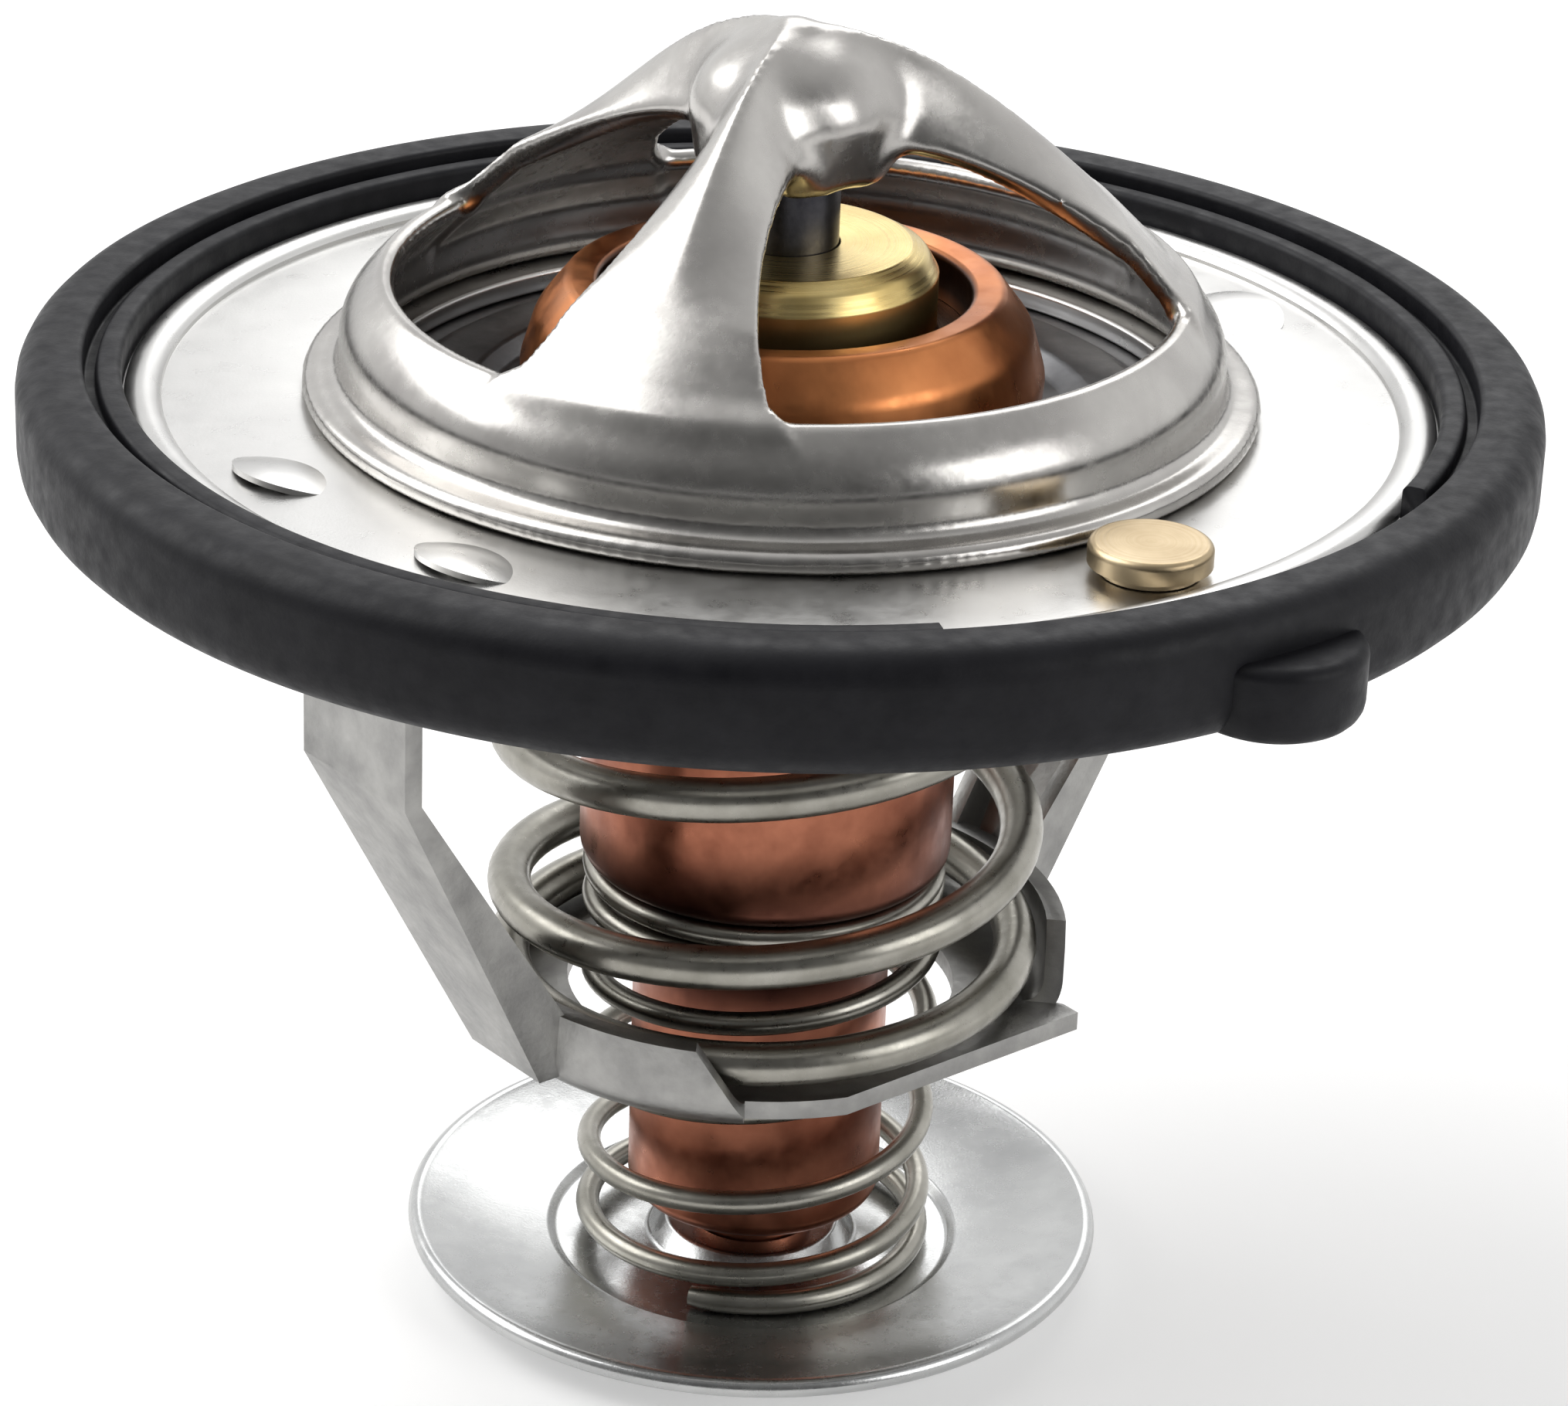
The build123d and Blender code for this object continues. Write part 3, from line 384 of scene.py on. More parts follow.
def cell_spots(values, mixed):
    """One spot in each mixed cell: the mean of where the field is zero on the cell's edges."""
    count = int(mixed.sum())
    total = np.zeros((count, 3))
    crossings = np.zeros(count)
    for start in CELL_CORNERS:
        for axis in range(3):
            if start[axis]:
                continue
            end = tuple(1 if i == axis else start[i] for i in range(3))
            a, b = at_corner(values, start)[mixed], at_corner(values, end)[mixed]
            cut = (a < 0) != (b < 0)
            spot = np.tile(np.array(start, float), (count, 1))
            spot[cut, axis] += a[cut] / (a[cut] - b[cut])
            total[cut] += spot[cut]
            crossings += cut
    return total / crossings[:, None]


def cell_faces(solid, number):
    """Four-sided faces across each grid line that passes the skin, turned outward."""
    faces = []
    for axis in range(3):
        one, two = np.eye(3, dtype=int)[[(axis + 1) % 3, (axis + 2) % 3]]
        cut = solid != np.roll(solid, -1, axis)
        inside = [slice(1, n - 1) for n in solid.shape]
        inside[axis] = slice(0, solid.shape[axis] - 1)
        shift = np.array([part.start for part in inside])
        for turned in (False, True):
            chosen = cut[tuple(inside)] & (solid[tuple(inside)] == turned)
            spots = np.argwhere(chosen) + shift
            ring = [spots, spots - one, spots - one - two, spots - two]
            quad = np.stack([number[tuple(r.T)] for r in ring], axis=1)
            faces.append(quad if turned else quad[:, ::-1])
    return np.concatenate(faces).tolist()


def drawn_on(field, verts, cell):
    """The points moved along the field's slope until they lie where it is zero."""
    for _ in range(DRAW_PASSES):
        here = field(*verts.T)
        rises = [
            (field(*(verts + step).T) - field(*(verts - step).T)) / (2 * PROBE)
            for step in PROBE * np.eye(3)
        ]
        slope = np.stack(rises, axis=1)
        move = -here / np.maximum((slope**2).sum(axis=1), SLOPE_FLOOR)
        verts = verts + slope * np.clip(move, -STEP_LIMIT * cell, STEP_LIMIT * cell)[:, None]
    return verts


def blended(name, field, low, high, cell):
    """Skin of the solid where field is below zero, found on an even grid and drawn on to it."""
    axes = [np.arange(a, b + cell, cell) for a, b in zip(low, high)]
    values = field(*np.meshgrid(*axes, indexing="ij"))
    solid = values < 0
    count = sum(at_corner(solid, corner).astype(np.int8) for corner in CELL_CORNERS)
    mixed = (count > 0) & (count < len(CELL_CORNERS))
    cells = np.argwhere(mixed)
    number = np.full(mixed.shape, -1)
    number[mixed] = np.arange(len(cells))
    verts = drawn_on(field, np.array(low) + cell * (cells + cell_spots(values, mixed)), cell)
    mesh = bpy.data.meshes.new(name)
    mesh.from_pydata((verts * MM).tolist(), [], cell_faces(solid, number))

    def set_up(obj):
        smooth = obj.modifiers.new("smooth", "SMOOTH")
        smooth.factor = 0.5
        smooth.iterations = SMOOTH_PASSES

    return applied(mesh, set_up)


def soft_min(a, b, reach):
    """The smaller of two distances, run smoothly into each other."""
    share = np.clip(0.5 + 0.5 * (b - a) / reach, 0, 1)
    return b * (1 - share) + a * share - reach * share * (1 - share)


def soft_max(a, b, reach):
    """The larger of two distances, run smoothly into each other."""
    return -soft_min(-a, -b, reach)


def chain_distance(x, y, points):
    """Distance in a plane from a chain of straight lines."""
    nearest = None
    for (x0, y0), (x1, y1) in zip(points[:-1], points[1:]):
        dx, dy = x1 - x0, y1 - y0
        share = np.clip(((x - x0) * dx + (y - y0) * dy) / (dx * dx + dy * dy), 0, 1)
        gap = np.hypot(x - x0 - share * dx, y - y0 - share * dy)
        nearest = gap if nearest is None else np.minimum(nearest, gap)
    return nearest


def moved(mesh, angle, offset=(0, 0, 0)):
    """The mesh shifted by millimetres, then turned round the main axis by degrees."""
    mesh.transform(Matrix.Rotation(radians(angle), 4, "Z") @ Matrix.Translation(Vector(offset) * MM))
    return mesh


def piece(name, mesh, body, node, finish, angle=32):
    """A visible piece that stands for a CAD node and rides on its body."""
    mesh.name = name
    obj = bpy.data.objects.new(name, shaded(mesh, angle))
    bpy.context.scene.collection.objects.link(obj)
    obj.data.materials.clear()
    obj.data.materials.append(finish)
    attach(obj, body)
    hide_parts(node)
    return obj


# ---- Materials -----------------------------------------------------------------------


class Finish:
    """Builds one node material: a Principled surface with noise for colour, gloss and bump."""

    def __init__(self, name, metallic, roughness):
        self.material = bpy.data.materials.new(name)
        self.material.use_nodes = True
        self.tree = self.material.node_tree
        self.shader = self.tree.nodes["Principled BSDF"]
        self.shader.inputs["Metallic"].default_value = metallic
        self.shader.inputs["Roughness"].default_value = roughness
        self.place = self.tree.nodes.new("ShaderNodeTexCoord").outputs["Object"]
        self.height = None

    def node(self, kind, **values):
        made = self.tree.nodes.new(kind)
        for key, value in values.items():
            setattr(made, key, value)
        return made

    def link(self, a, b):
        self.tree.links.new(a, b)

    def noise(self, size, stretch=(1, 1, 1), detail=4.0, rough=0.55, seed=0.0):
        """Noise in space with features of about size millimetres, stretched along the axes."""
        mapping = self.node("ShaderNodeMapping")
        mapping.inputs["Scale"].default_value = [1 / (MM * size * s) for s in stretch]
        mapping.inputs["Location"].default_value = (seed, seed * 1.7, seed * 2.3)
        self.link(self.place, mapping.inputs["Vector"])
        texture = self.node("ShaderNodeTexNoise")
        texture.inputs["Scale"].default_value = 1.0
        texture.inputs["Detail"].default_value = detail
        texture.inputs["Roughness"].default_value = rough
        self.link(mapping.outputs["Vector"], texture.inputs["Vector"])
        return texture.outputs["Fac"]

    def radius(self, centre=(0.0, 0.0)):
        """Distance from an upright axis."""
        shift = self.node("ShaderNodeVectorMath", operation="SUBTRACT")
        shift.inputs[1].default_value = (centre[0] * MM, centre[1] * MM, 0)
        self.link(self.place, shift.inputs[0])
        flat = self.node("ShaderNodeVectorMath", operation="MULTIPLY")
        flat.inputs[1].default_value = (1, 1, 0)
        self.link(shift.outputs["Vector"], flat.inputs[0])
        length = self.node("ShaderNodeVectorMath", operation="LENGTH")
        self.link(flat.outputs["Vector"], length.inputs[0])
        return length.outputs["Value"]

    def rings(self, size, centre=(0.0, 0.0), detail=3.0):
        """Noise that only changes with the distance from an upright axis: turning marks."""
        texture = self.node("ShaderNodeTexNoise", noise_dimensions="1D")
        texture.inputs["Scale"].default_value = 1 / (MM * size)
        texture.inputs["Detail"].default_value = detail
        self.link(self.radius(centre), texture.inputs["W"])
        return texture.outputs["Fac"]

    def spread(self, value, low, high, to_low=0.0, to_high=1.0):
        """Maps a range of a value to another, clamped."""
        ranged = self.node("ShaderNodeMapRange")
        ranged.inputs["From Min"].default_value = low
        ranged.inputs["From Max"].default_value = high
        ranged.inputs["To Min"].default_value = to_low
        ranged.inputs["To Max"].default_value = to_high
        self.link(value, ranged.inputs["Value"])
        return ranged.outputs["Result"]

    def times(self, a, b):
        """Product of two values."""
        product = self.node("ShaderNodeMath", operation="MULTIPLY")
        self.link(a, product.inputs[0])
        self.link(b, product.inputs[1])
        return product.outputs["Value"]

    def mix(self, share, first, second):
        """Colour mix; first and second are colours or sockets."""
        mixed = self.node("ShaderNodeMix", data_type="RGBA")
        self.link(share, mixed.inputs["Factor"])
        for socket, colour in ((mixed.inputs[6], first), (mixed.inputs[7], second)):
            if isinstance(colour, tuple):
                socket.default_value = (*colour, 1)
            else:
                self.link(colour, socket)
        return mixed.outputs[2]

    def colour(self, socket):
        self.link(socket, self.shader.inputs["Base Color"])

    def gloss(self, socket):
        self.link(socket, self.shader.inputs["Roughness"])

    def bump(self, socket, distance, strength=1.0):
        """Adds a bump of the given height in millimetres on top of the ones before."""
        made = self.node("ShaderNodeBump")
        made.inputs["Distance"].default_value = distance * MM
        made.inputs["Strength"].default_value = strength
        self.link(socket, made.inputs["Height"])
        if self.height is not None:
            self.link(self.height, made.inputs["Normal"])
        self.height = made.outputs["Normal"]
        self.link(self.height, self.shader.inputs["Normal"])

    def band(self, axis, low, high):
        """0 below low and 1 above high along an axis, in millimetres."""
        split = self.node("ShaderNodeSeparateXYZ")
        self.link(self.place, split.inputs["Vector"])
        return self.spread(split.outputs[axis], low * MM, high * MM)


def steel(name, light, dark, roughness, patch, grain=0.12, grain_height=0.004):
    """Pressed or drawn steel: cloudy tone, uneven gloss and a fine grain."""
    finish = Finish(name, 1.0, roughness)
    cloud = finish.noise(patch, detail=5.0)
    finish.colour(finish.mix(finish.spread(cloud, 0.3, 0.7), dark, light))
    fine = finish.noise(patch / 5, detail=6.0, rough=0.65, seed=3.1)
    finish.gloss(finish.spread(fine, 0.25, 0.75, roughness - 0.07, roughness + 0.09))
    finish.bump(finish.noise(grain, detail=2.0, seed=5.0), grain_height)
    return finish.material


def copper():
    """Drawn copper: drawing marks, tarnish below the flange, painted shade at its step and inside its lip.
    """
    finish = Finish("copper_drawn", 1.0, 0.33)
    cloud = finish.noise(5.0, detail=5.0)
    higher = finish.mix(finish.spread(cloud, 0.3, 0.7), (0.44, 0.15, 0.055), (0.68, 0.27, 0.10))
    tarnish = finish.mix(finish.spread(cloud, 0.35, 0.65), (0.25, 0.085, 0.05), (0.54, 0.21, 0.125))
    drawn = finish.mix(finish.band("Z", *TARNISH_HEIGHTS), tarnish, higher)
    # Painted shade: the copper turns near black around the step between body and tail.
    step_shaded = finish.mix(finish.band("Z", *PAINTED_SHADE_LOW_HEIGHTS), drawn, (0.07, 0.03, 0.025))
    outside = finish.mix(finish.band("Z", *PAINTED_SHADE_HIGH_HEIGHTS), step_shaded, drawn)
    # Painted shade: near black on the inside of the collar's lip.
    inward = finish.spread(finish.radius(), RECESS_SHADE_RADII[0] * MM, RECESS_SHADE_RADII[1] * MM, 1.0, 0.0)
    recess_shade = finish.times(inward, finish.band("Z", *RECESS_SHADE_HEIGHTS))
    finish.colour(finish.mix(recess_shade, outside, (0.06, 0.025, 0.015)))
    finish.gloss(finish.spread(finish.noise(1.2, seed=2.0), 0.3, 0.7, 0.26, 0.44))
    finish.bump(finish.noise(0.35, stretch=(1, 1, 12), detail=3.0), 0.004)
    return finish.material


def brass(name, light, dark, roughness, shade_below, centre=(0.0, 0.0)):
    """Turned brass with concentric tool marks, and painted shade, near black, below a given height."""
    finish = Finish(name, 1.0, roughness)
    cloud = finish.noise(2.5, detail=4.0)
    turned = finish.mix(finish.spread(cloud, 0.3, 0.7), dark, light)
    # Painted shade: near black below the given height.
    higher = finish.band("Z", shade_below - SHADE_FADE, shade_below)
    finish.colour(finish.mix(higher, (0.05, 0.03, 0.015), turned))
    marks = finish.rings(0.12, centre)
    finish.gloss(finish.spread(marks, 0.3, 0.7, roughness - 0.06, roughness + 0.1))
    finish.bump(marks, 0.002)
    return finish.material


def rubber():
    """Moulded rubber with a faint mottled bloom."""
    finish = Finish("rubber_moulded", 0.0, 0.42)
    bloom = finish.spread(finish.noise(2.2, detail=6.0, rough=0.6), 0.35, 0.72)
    finish.colour(finish.mix(bloom, (0.004, 0.004, 0.006), (0.011, 0.011, 0.014)))
    finish.gloss(finish.spread(finish.noise(0.9, seed=4.0), 0.3, 0.7, 0.42, 0.60))
    finish.bump(finish.noise(0.18, detail=3.0), 0.008)
    finish.shader.inputs["Specular IOR Level"].default_value = 0.22
    return finish.material


def soft_filling(name, light, dark, roughness):
    """Plain soft filling or plastic, seen only when the part is taken apart."""
    finish = Finish(name, 0.0, roughness)
    finish.colour(finish.mix(finish.noise(1.5), dark, light))
    finish.bump(finish.noise(0.3), 0.01)
    return finish.material


BRIGHT = steel("steel_bright", (0.68, 0.675, 0.66), (0.57, 0.565, 0.555), 0.30, patch=9.0)
SATIN = steel(
    "steel_satin", (0.56, 0.545, 0.52), (0.40, 0.385, 0.37), 0.24, patch=5.0, grain=0.4, grain_height=0.003
)
FRAME_STEEL = steel(
    "steel_matte", (0.42, 0.415, 0.40), (0.28, 0.277, 0.27), 0.38, patch=2.0, grain=0.22, grain_height=0.012
)
VALVE_STEEL = steel("steel_dull", (0.24, 0.24, 0.245), (0.13, 0.13, 0.135), 0.34, patch=3.0)
PIN_STEEL = steel("steel_dark", (0.11, 0.11, 0.12), (0.05, 0.05, 0.06), 0.34, patch=1.2)
SPRING_STEEL = steel(
    "steel_spring", (0.40, 0.385, 0.345), (0.27, 0.26, 0.225), 0.30, patch=2.2, grain=0.4, grain_height=0.002
)
DISC_STEEL = steel("steel_scratched", (0.60, 0.605, 0.60), (0.46, 0.465, 0.465), 0.24, patch=4.0)
COPPER = copper()
GUIDE_BRASS = brass("brass_turned", (0.78, 0.62, 0.28), (0.62, 0.46, 0.18), 0.28, GUIDE_SHADE_BELOW)
VENT_SPOT = (VENT_RADIUS * cos(radians(VENT_ANGLE)), VENT_RADIUS * sin(radians(VENT_ANGLE)))
# Painted shade: the vent pin's brass turns near black below the flange.
VENT_BRASS = brass("brass_vent", (0.56, 0.45, 0.29), (0.42, 0.32, 0.19), 0.34, FLANGE_BOTTOM, VENT_SPOT)
RUBBER = rubber()
WAX = soft_filling("wax_filled", (0.86, 0.78, 0.60), (0.76, 0.66, 0.46), 0.5)
WHITE_PLASTIC = soft_filling("plastic_white", (0.88, 0.88, 0.84), (0.80, 0.80, 0.76), 0.4)

# ---- Bridge --------------------------------------------------------------------------

RIDGE_SCALE = (BRIDGE_TOP - RIM_Z) / (sqrt(1 + (RIM_RADIUS / RIDGE_ROUNDING) ** 2) - 1)


def ridge(radius):
    """Height and slope of the arms' centre lines."""
    root = np.sqrt(1 + (radius / RIDGE_ROUNDING) ** 2)
    return BRIDGE_TOP - RIDGE_SCALE * (root - 1), -RIDGE_SCALE * radius / RIDGE_ROUNDING**2 / root


def arm_field(x, y, z, angle):
    """Distance to one arm: a sheet that is flat at the foot and curls down towards the apex."""
    along = x * cos(radians(angle)) + y * sin(radians(angle))
    across = y * cos(radians(angle)) - x * sin(radians(angle))
    run = np.clip(along, 0, ARM_RUN_END)
    height, slope = ridge(run)
    lean = 1 / np.sqrt(1 + slope**2)
    fall = np.zeros_like(run)
    for _ in range(ARM_FALL_PASSES):
        origin = run - slope * lean * fall
        flare = (np.clip(origin, 0, ARM_RUN_END) / RIM_RADIUS) ** ARM_FLARE
        half = ARM_NECK_HALF + (ARM_BASE_HALF - ARM_NECK_HALF) * flare
        share = np.abs(across) / half
        curl = CURL_DEPTH * np.clip(1 - origin / CURL_END, 0, 1)
        crowned = half**2 / (2 * ARM_CROWN_RADIUS) * share**2
        fall = crowned + curl * np.minimum(share, ARM_SHARE_LIMIT) ** ARM_FLANK_POWER
        fall = np.minimum(fall, ARM_FALL_LIMIT)
    steep = (half * share / ARM_CROWN_RADIUS + curl * ARM_FLANK_POWER * np.sqrt(share) / half) / lean
    tilt = 1 / np.sqrt(1 + slope**2 + steep**2)
    dip = APEX_DIP * np.exp(-((along / APEX_DIP_REACH) ** 2))
    above = (z - height + fall / lean + dip) * tilt
    sheet = np.abs(above + BRIDGE_SHEET / 2) - BRIDGE_SHEET / 2
    sides = np.abs(across) - above * steep * tilt - half
    out = np.hypot(x, y)
    ends = np.maximum(-along - ARM_BEHIND_APEX, out - RIM_RADIUS - ARM_PAST_RIM)
    skirt = SOCKET_BOTTOM + SKIRT_RISE - SKIRT_FALL * np.clip(out - SKIRT_START, 0, SKIRT_REACH)
    ends = np.maximum(ends, (skirt - z) * SKIRT_SLANT)
    return soft_max(sheet, np.maximum(sides, ends), EDGE_ROUNDING)


def foot_line():
    """Middle of the sheet from the flared foot up the wall and the shoulder to the rims."""
    half = BRIDGE_SHEET / 2
    height, slope = ridge(RIM_RADIUS)
    lean = 1 / sqrt(1 + slope**2)
    way = Vector((lean, slope * lean))
    end = Vector((RIM_RADIUS, float(height))) - Vector((-way.y, way.x)) * half + way * SHOULDER_OVERLAP
    start = Vector((BRIDGE_WALL_RADIUS - half, BRIDGE_WALL_TOP))
    reach = (end - start).length / 3
    handles = (start, start + Vector((0, reach)), end + way * reach, end)
    line = [(BRIDGE_FOOT_RADIUS - half, FLANGE_TOP + half)]
    for step in range(BEND_STEPS + 1):
        angle = pi / 2 * step / BEND_STEPS
        x = start.x + FOOT_BEND * (1 - sin(angle))
        line.append((x, FLANGE_TOP + half + FOOT_BEND * (1 - cos(angle))))
    for step in range(SHOULDER_STEPS + 1):
        t = step / SHOULDER_STEPS
        weights = ((1 - t) ** 3, 3 * t * (1 - t) ** 2, 3 * t * t * (1 - t), t**3)
        line.append(tuple(sum((w * h for w, h in zip(weights, handles)), Vector((0, 0)))))
    return line


def thimble_field(out, z):
    """Distance to the socket's outside: a tapered wall under a domed crown."""
    crown_z = BRIDGE_TOP - SOCKET_CROWN_DROP
    rise = np.maximum(z - crown_z, 0) / (SOCKET_CROWN_DROP - SOCKET_CROWN_SUNK)
    wall = SOCKET_CROWN_RADIUS - SOCKET_TAPER * np.clip(crown_z - z, 0, SOCKET_TAPER_DEPTH)
    crown = (np.sqrt((out / SOCKET_CROWN_RADIUS) ** 2 + rise**2) - 1) * SOCKET_CROWN_DROP
    thimble = np.where(z > crown_z, crown, out - wall)
    return soft_max(thimble, SOCKET_BOTTOM - z, EDGE_ROUNDING)


def bridge():
    """The whole stamping: foot, arms and thimble run into each other like drawn sheet."""
    line = foot_line()

    def field(x, y, z):
        out = np.hypot(x, y)
        foot = chain_distance(out, z, line) - BRIDGE_SHEET / 2
        arms = arm_field(x, y, z, ARM_ANGLES[0])
        for angle in ARM_ANGLES[1:]:
            arms = soft_min(arms, arm_field(x, y, z, angle), ARM_BLEND)
        body = soft_min(soft_min(arms, thimble_field(out, z), THIMBLE_BLEND), foot, FOOT_BLEND)
        opening = np.clip((SOCKET_BOTTOM + SOCKET_MOUTH_DEPTH - z) / SOCKET_MOUTH_DEPTH, 0, 1)
        mouth = PIN_RADIUS + FIT + SOCKET_MOUTH_FLARE * opening
        bore = np.maximum(out - mouth, z - PIN_TOP)
        return soft_max(body, -bore, BORE_ROUNDING)

    side = BRIDGE_FOOT_RADIUS + BRIDGE_MARGIN
    low = (-side, -side, FLANGE_TOP - MARGIN_BELOW)
    skin = blended("bridge", field, low, (side, side, BRIDGE_TOP + MARGIN_ABOVE), BRIDGE_CELL)
    return piece("bridge_stamping", skin, "housing_side", "bridge", SATIN, BRIDGE_CREASE)


# ---- Flange and gasket ---------------------------------------------------------------


def joined(mesh, others):
    """One mesh of several closed shells."""
    work = bmesh.new()
    for part in (mesh, *others):
        work.from_mesh(part)
    work.to_mesh(mesh)
    work.free()
    return mesh


def bump(side, end):
    """Half-moon bump: its outer arc is sheared and lifted, and it fades out inward."""
    hub = BUMP_EDGE - BUMP_RADIUS / 2
    arc = BUMP_EDGE - BUMP_RADIUS
    peak = BUMP_EDGE - BUMP_LEAD

    def reach(angle, centre):
        away = centre - hub
        return away * cos(angle) + sqrt(BUMP_RADIUS**2 - (away * sin(angle)) ** 2)

    def loop(inset, share):
        points = []
        for step in range(BUMP_STEPS):
            angle = TURN * step / BUMP_STEPS
            edge = min(reach(angle, arc), reach(angle, peak))
            out = max(edge - inset, BUMP_LEAST_RADIUS) * share
            x, y = hub + out * cos(angle), out * sin(angle)
            rise = BUMP_HEIGHT * (1 - ((x - peak) ** 2 + y * y) / BUMP_RADIUS**2)
            points.append((x, y + side * BUMP_OFFSET, FLANGE_TOP + (rise - BUMP_SUNK)))
        return points

    loops = [loop(0, share) for share in BUMP_SHARES]
    under = [max(point[2] - BUMP_SHEET, FLANGE_TOP - BUMP_GROUND) for point in loops[-1]]
    inner = loop(BUMP_GAP_DEPTH, 1.0)
    loops.append([(x, y, z) for (x, y, _), z in zip(loops[-1], under)])
    loops.append([(x, y, z) for (x, y, _), z in zip(inner, under)])
    loops.append([(x, y, FLANGE_TOP - BUMP_ROOT) for x, y, _ in inner])
    return moved(loops_mesh("bump", loops, False, True), BUMP_ANGLE + end)


def flange():
    """Ring plate with its bead, half-moon bumps and vent hole."""
    bead = []
    for step in range(BEAD_STEPS + 1):
        angle = pi * step / BEAD_STEPS
        bead.append((BEAD_RADIUS + BEAD_HALF * cos(angle), FLANGE_TOP + BEAD_HEIGHT * sin(angle), 0))
    outline = rounded(
        [
            (SEAT_RADIUS, FLANGE_TOP, 0.2),
            (SEAT_RADIUS, FLANGE_BOTTOM, 0.2),
            (FLANGE_RADIUS, FLANGE_BOTTOM, 0.1),
            (FLANGE_RADIUS, FLANGE_TOP, 0.1),
        ]
        + bead
    )
    plate = lathe("flange", outline, FLANGE_STEPS)
    below, above = FLANGE_BOTTOM - 1, FLANGE_TOP + 1
    core = [(0, below, 0), (VENT_HOLE_RADIUS, below, 0), (VENT_HOLE_RADIUS, above, 0), (0, above, 0)]
    hole = lathe("hole", rounded(core), VENT_HOLE_STEPS)
    plate = combined(plate, [moved(hole, VENT_ANGLE, (VENT_RADIUS, 0, 0))], "DIFFERENCE")
    plate = joined(plate, [bump(side, end) for end in BUMP_ENDS for side in (1, -1)])
    return piece("flange_ring", plate, "housing_side", "flange_plate", BRIGHT, FLANGE_CREASE)


def gasket():
    """Rubber rim whose inner lip fades out near the vent, with the flat locating ear."""
    loops = []
    for step in range(GASKET_STEPS):
        degrees_round = 360 * step / GASKET_STEPS
        away = abs((degrees_round - VENT_ANGLE + 180) % 360 - 180)
        keep = min(max((away - RELIEF_HALF_ANGLE + RELIEF_EASE) / (2 * RELIEF_EASE), 0.0), 1.0)
        keep = keep * keep * (3 - 2 * keep)
        lip_in = GASKET_INNER_RADIUS + (1 - keep) * RELIEF_LIP_IN
        lip_top = FLANGE_TOP + RELIEF_LIP_RISE + keep * (GASKET_LIP_TOP - FLANGE_TOP - RELIEF_LIP_RISE)
        lip_out = GASKET_LIP_OUTER + (1 - keep) * RELIEF_LIP_OUT
        groove = FLANGE_TOP + RELIEF_GROOVE_RISE
        groove += keep * (GASKET_GROOVE_Z - FLANGE_TOP - RELIEF_GROOVE_RISE)
        outline = rounded(
            [
                (FLANGE_RADIUS, FLANGE_BOTTOM, 0),
                (GASKET_INNER_RADIUS, FLANGE_BOTTOM, 0.15),
                (GASKET_INNER_RADIUS, GASKET_BOTTOM, 0.9),
                (GASKET_RADIUS, GASKET_BOTTOM, 1.5),
                (GASKET_RADIUS, GASKET_TOP, 1.5),
                (GASKET_RIDGE_INNER, GASKET_TOP, 0.25),
                (GASKET_RIDGE_INNER, groove, 0.12),
                (lip_out, groove, 0.1),
                (lip_out, lip_top, 0.3),
                (lip_in, lip_top, 0.3),
                (lip_in, FLANGE_TOP, 0),
                (FLANGE_RADIUS, FLANGE_TOP, 0),
            ]
        )
        angle = radians(degrees_round)
        loops.append([(p[0] * cos(angle), p[0] * sin(angle), p[1]) for p in outline])
    ring = loops_mesh("gasket", loops, True, False)
    ear = lathe(
        "ear",
        rounded(
            [
                (0, GASKET_BOTTOM, 0),
                (TAB_RADIUS, GASKET_BOTTOM, 0.9),
                (TAB_RADIUS, GASKET_BOTTOM + TAB_HEIGHT, 0.5),
                (0, GASKET_BOTTOM + TAB_HEIGHT, 0),
            ]
        ),
        TAB_STEPS,
    )
    ear = moved(ear, VENT_ANGLE, (GASKET_RADIUS + TAB_REACH - TAB_RADIUS, 0, 0))
    root = GASKET_RADIUS - TAB_ROOT
    core = [(0, 0), (root, 0), (root, BRIDGE_TOP), (0, BRIDGE_TOP)]
    tab = combined(ear, [lathe("core", core)], "DIFFERENCE")
    ring = combined(ring, [tab], "UNION")
    return piece("gasket_rim", ring, "housing_side", "gasket", RUBBER)


# ---- Element -------------------------------------------------------------------------


def element_case():
    """Copper case with its crimped collar."""
    base = VALVE_TOP + CASE_WALL
    case = rounded(
        [
            (BODY_RADIUS, VALVE_TOP, 0),
            (COLLAR_RADIUS - 0.6, VALVE_TOP, 0.3),
            (COLLAR_RADIUS - 0.1, VALVE_TOP + 0.8, 0.6),
            (COLLAR_RADIUS + COLLAR_BULGE, COLLAR_BULGE_Z, 1.6),
            (COLLAR_RADIUS - 0.55, COLLAR_BULGE_Z + 1.9, 1.8),
            (COLLAR_LIP_RADIUS + 0.12, COLLAR_TOP, 0.45),
            (COLLAR_LIP_INNER, COLLAR_TOP - 0.12, 0.3),
            (COLLAR_LIP_INNER - 0.05, GUIDE_FLANGE_TOP, 0),
            (GUIDE_FLANGE_RADIUS, GUIDE_FLANGE_TOP, 0),
            (GUIDE_FLANGE_RADIUS, base, 0),
            (BODY_RADIUS - CASE_WALL, base, 0),
            (BODY_RADIUS - CASE_WALL, BODY_BOTTOM + CASE_WALL, 0.3),
            (TAIL_RADIUS - CASE_WALL, BODY_BOTTOM + CASE_WALL, 0.3),
            (TAIL_RADIUS - CASE_WALL, TAIL_BOTTOM + CASE_WALL, 0.3),
            (CASE_HOLE_RADIUS, TAIL_BOTTOM + CASE_WALL, 0),
            (CASE_HOLE_RADIUS, TAIL_BOTTOM, 0),
            (TAIL_RADIUS, TAIL_BOTTOM, 0.7),
            (TAIL_RADIUS, BODY_BOTTOM, 0.4),
            (BODY_RADIUS, BODY_BOTTOM, 0.8),
        ]
    )
    piece("case_copper", lathe("case", case), "main_valve", "element_case", COPPER)


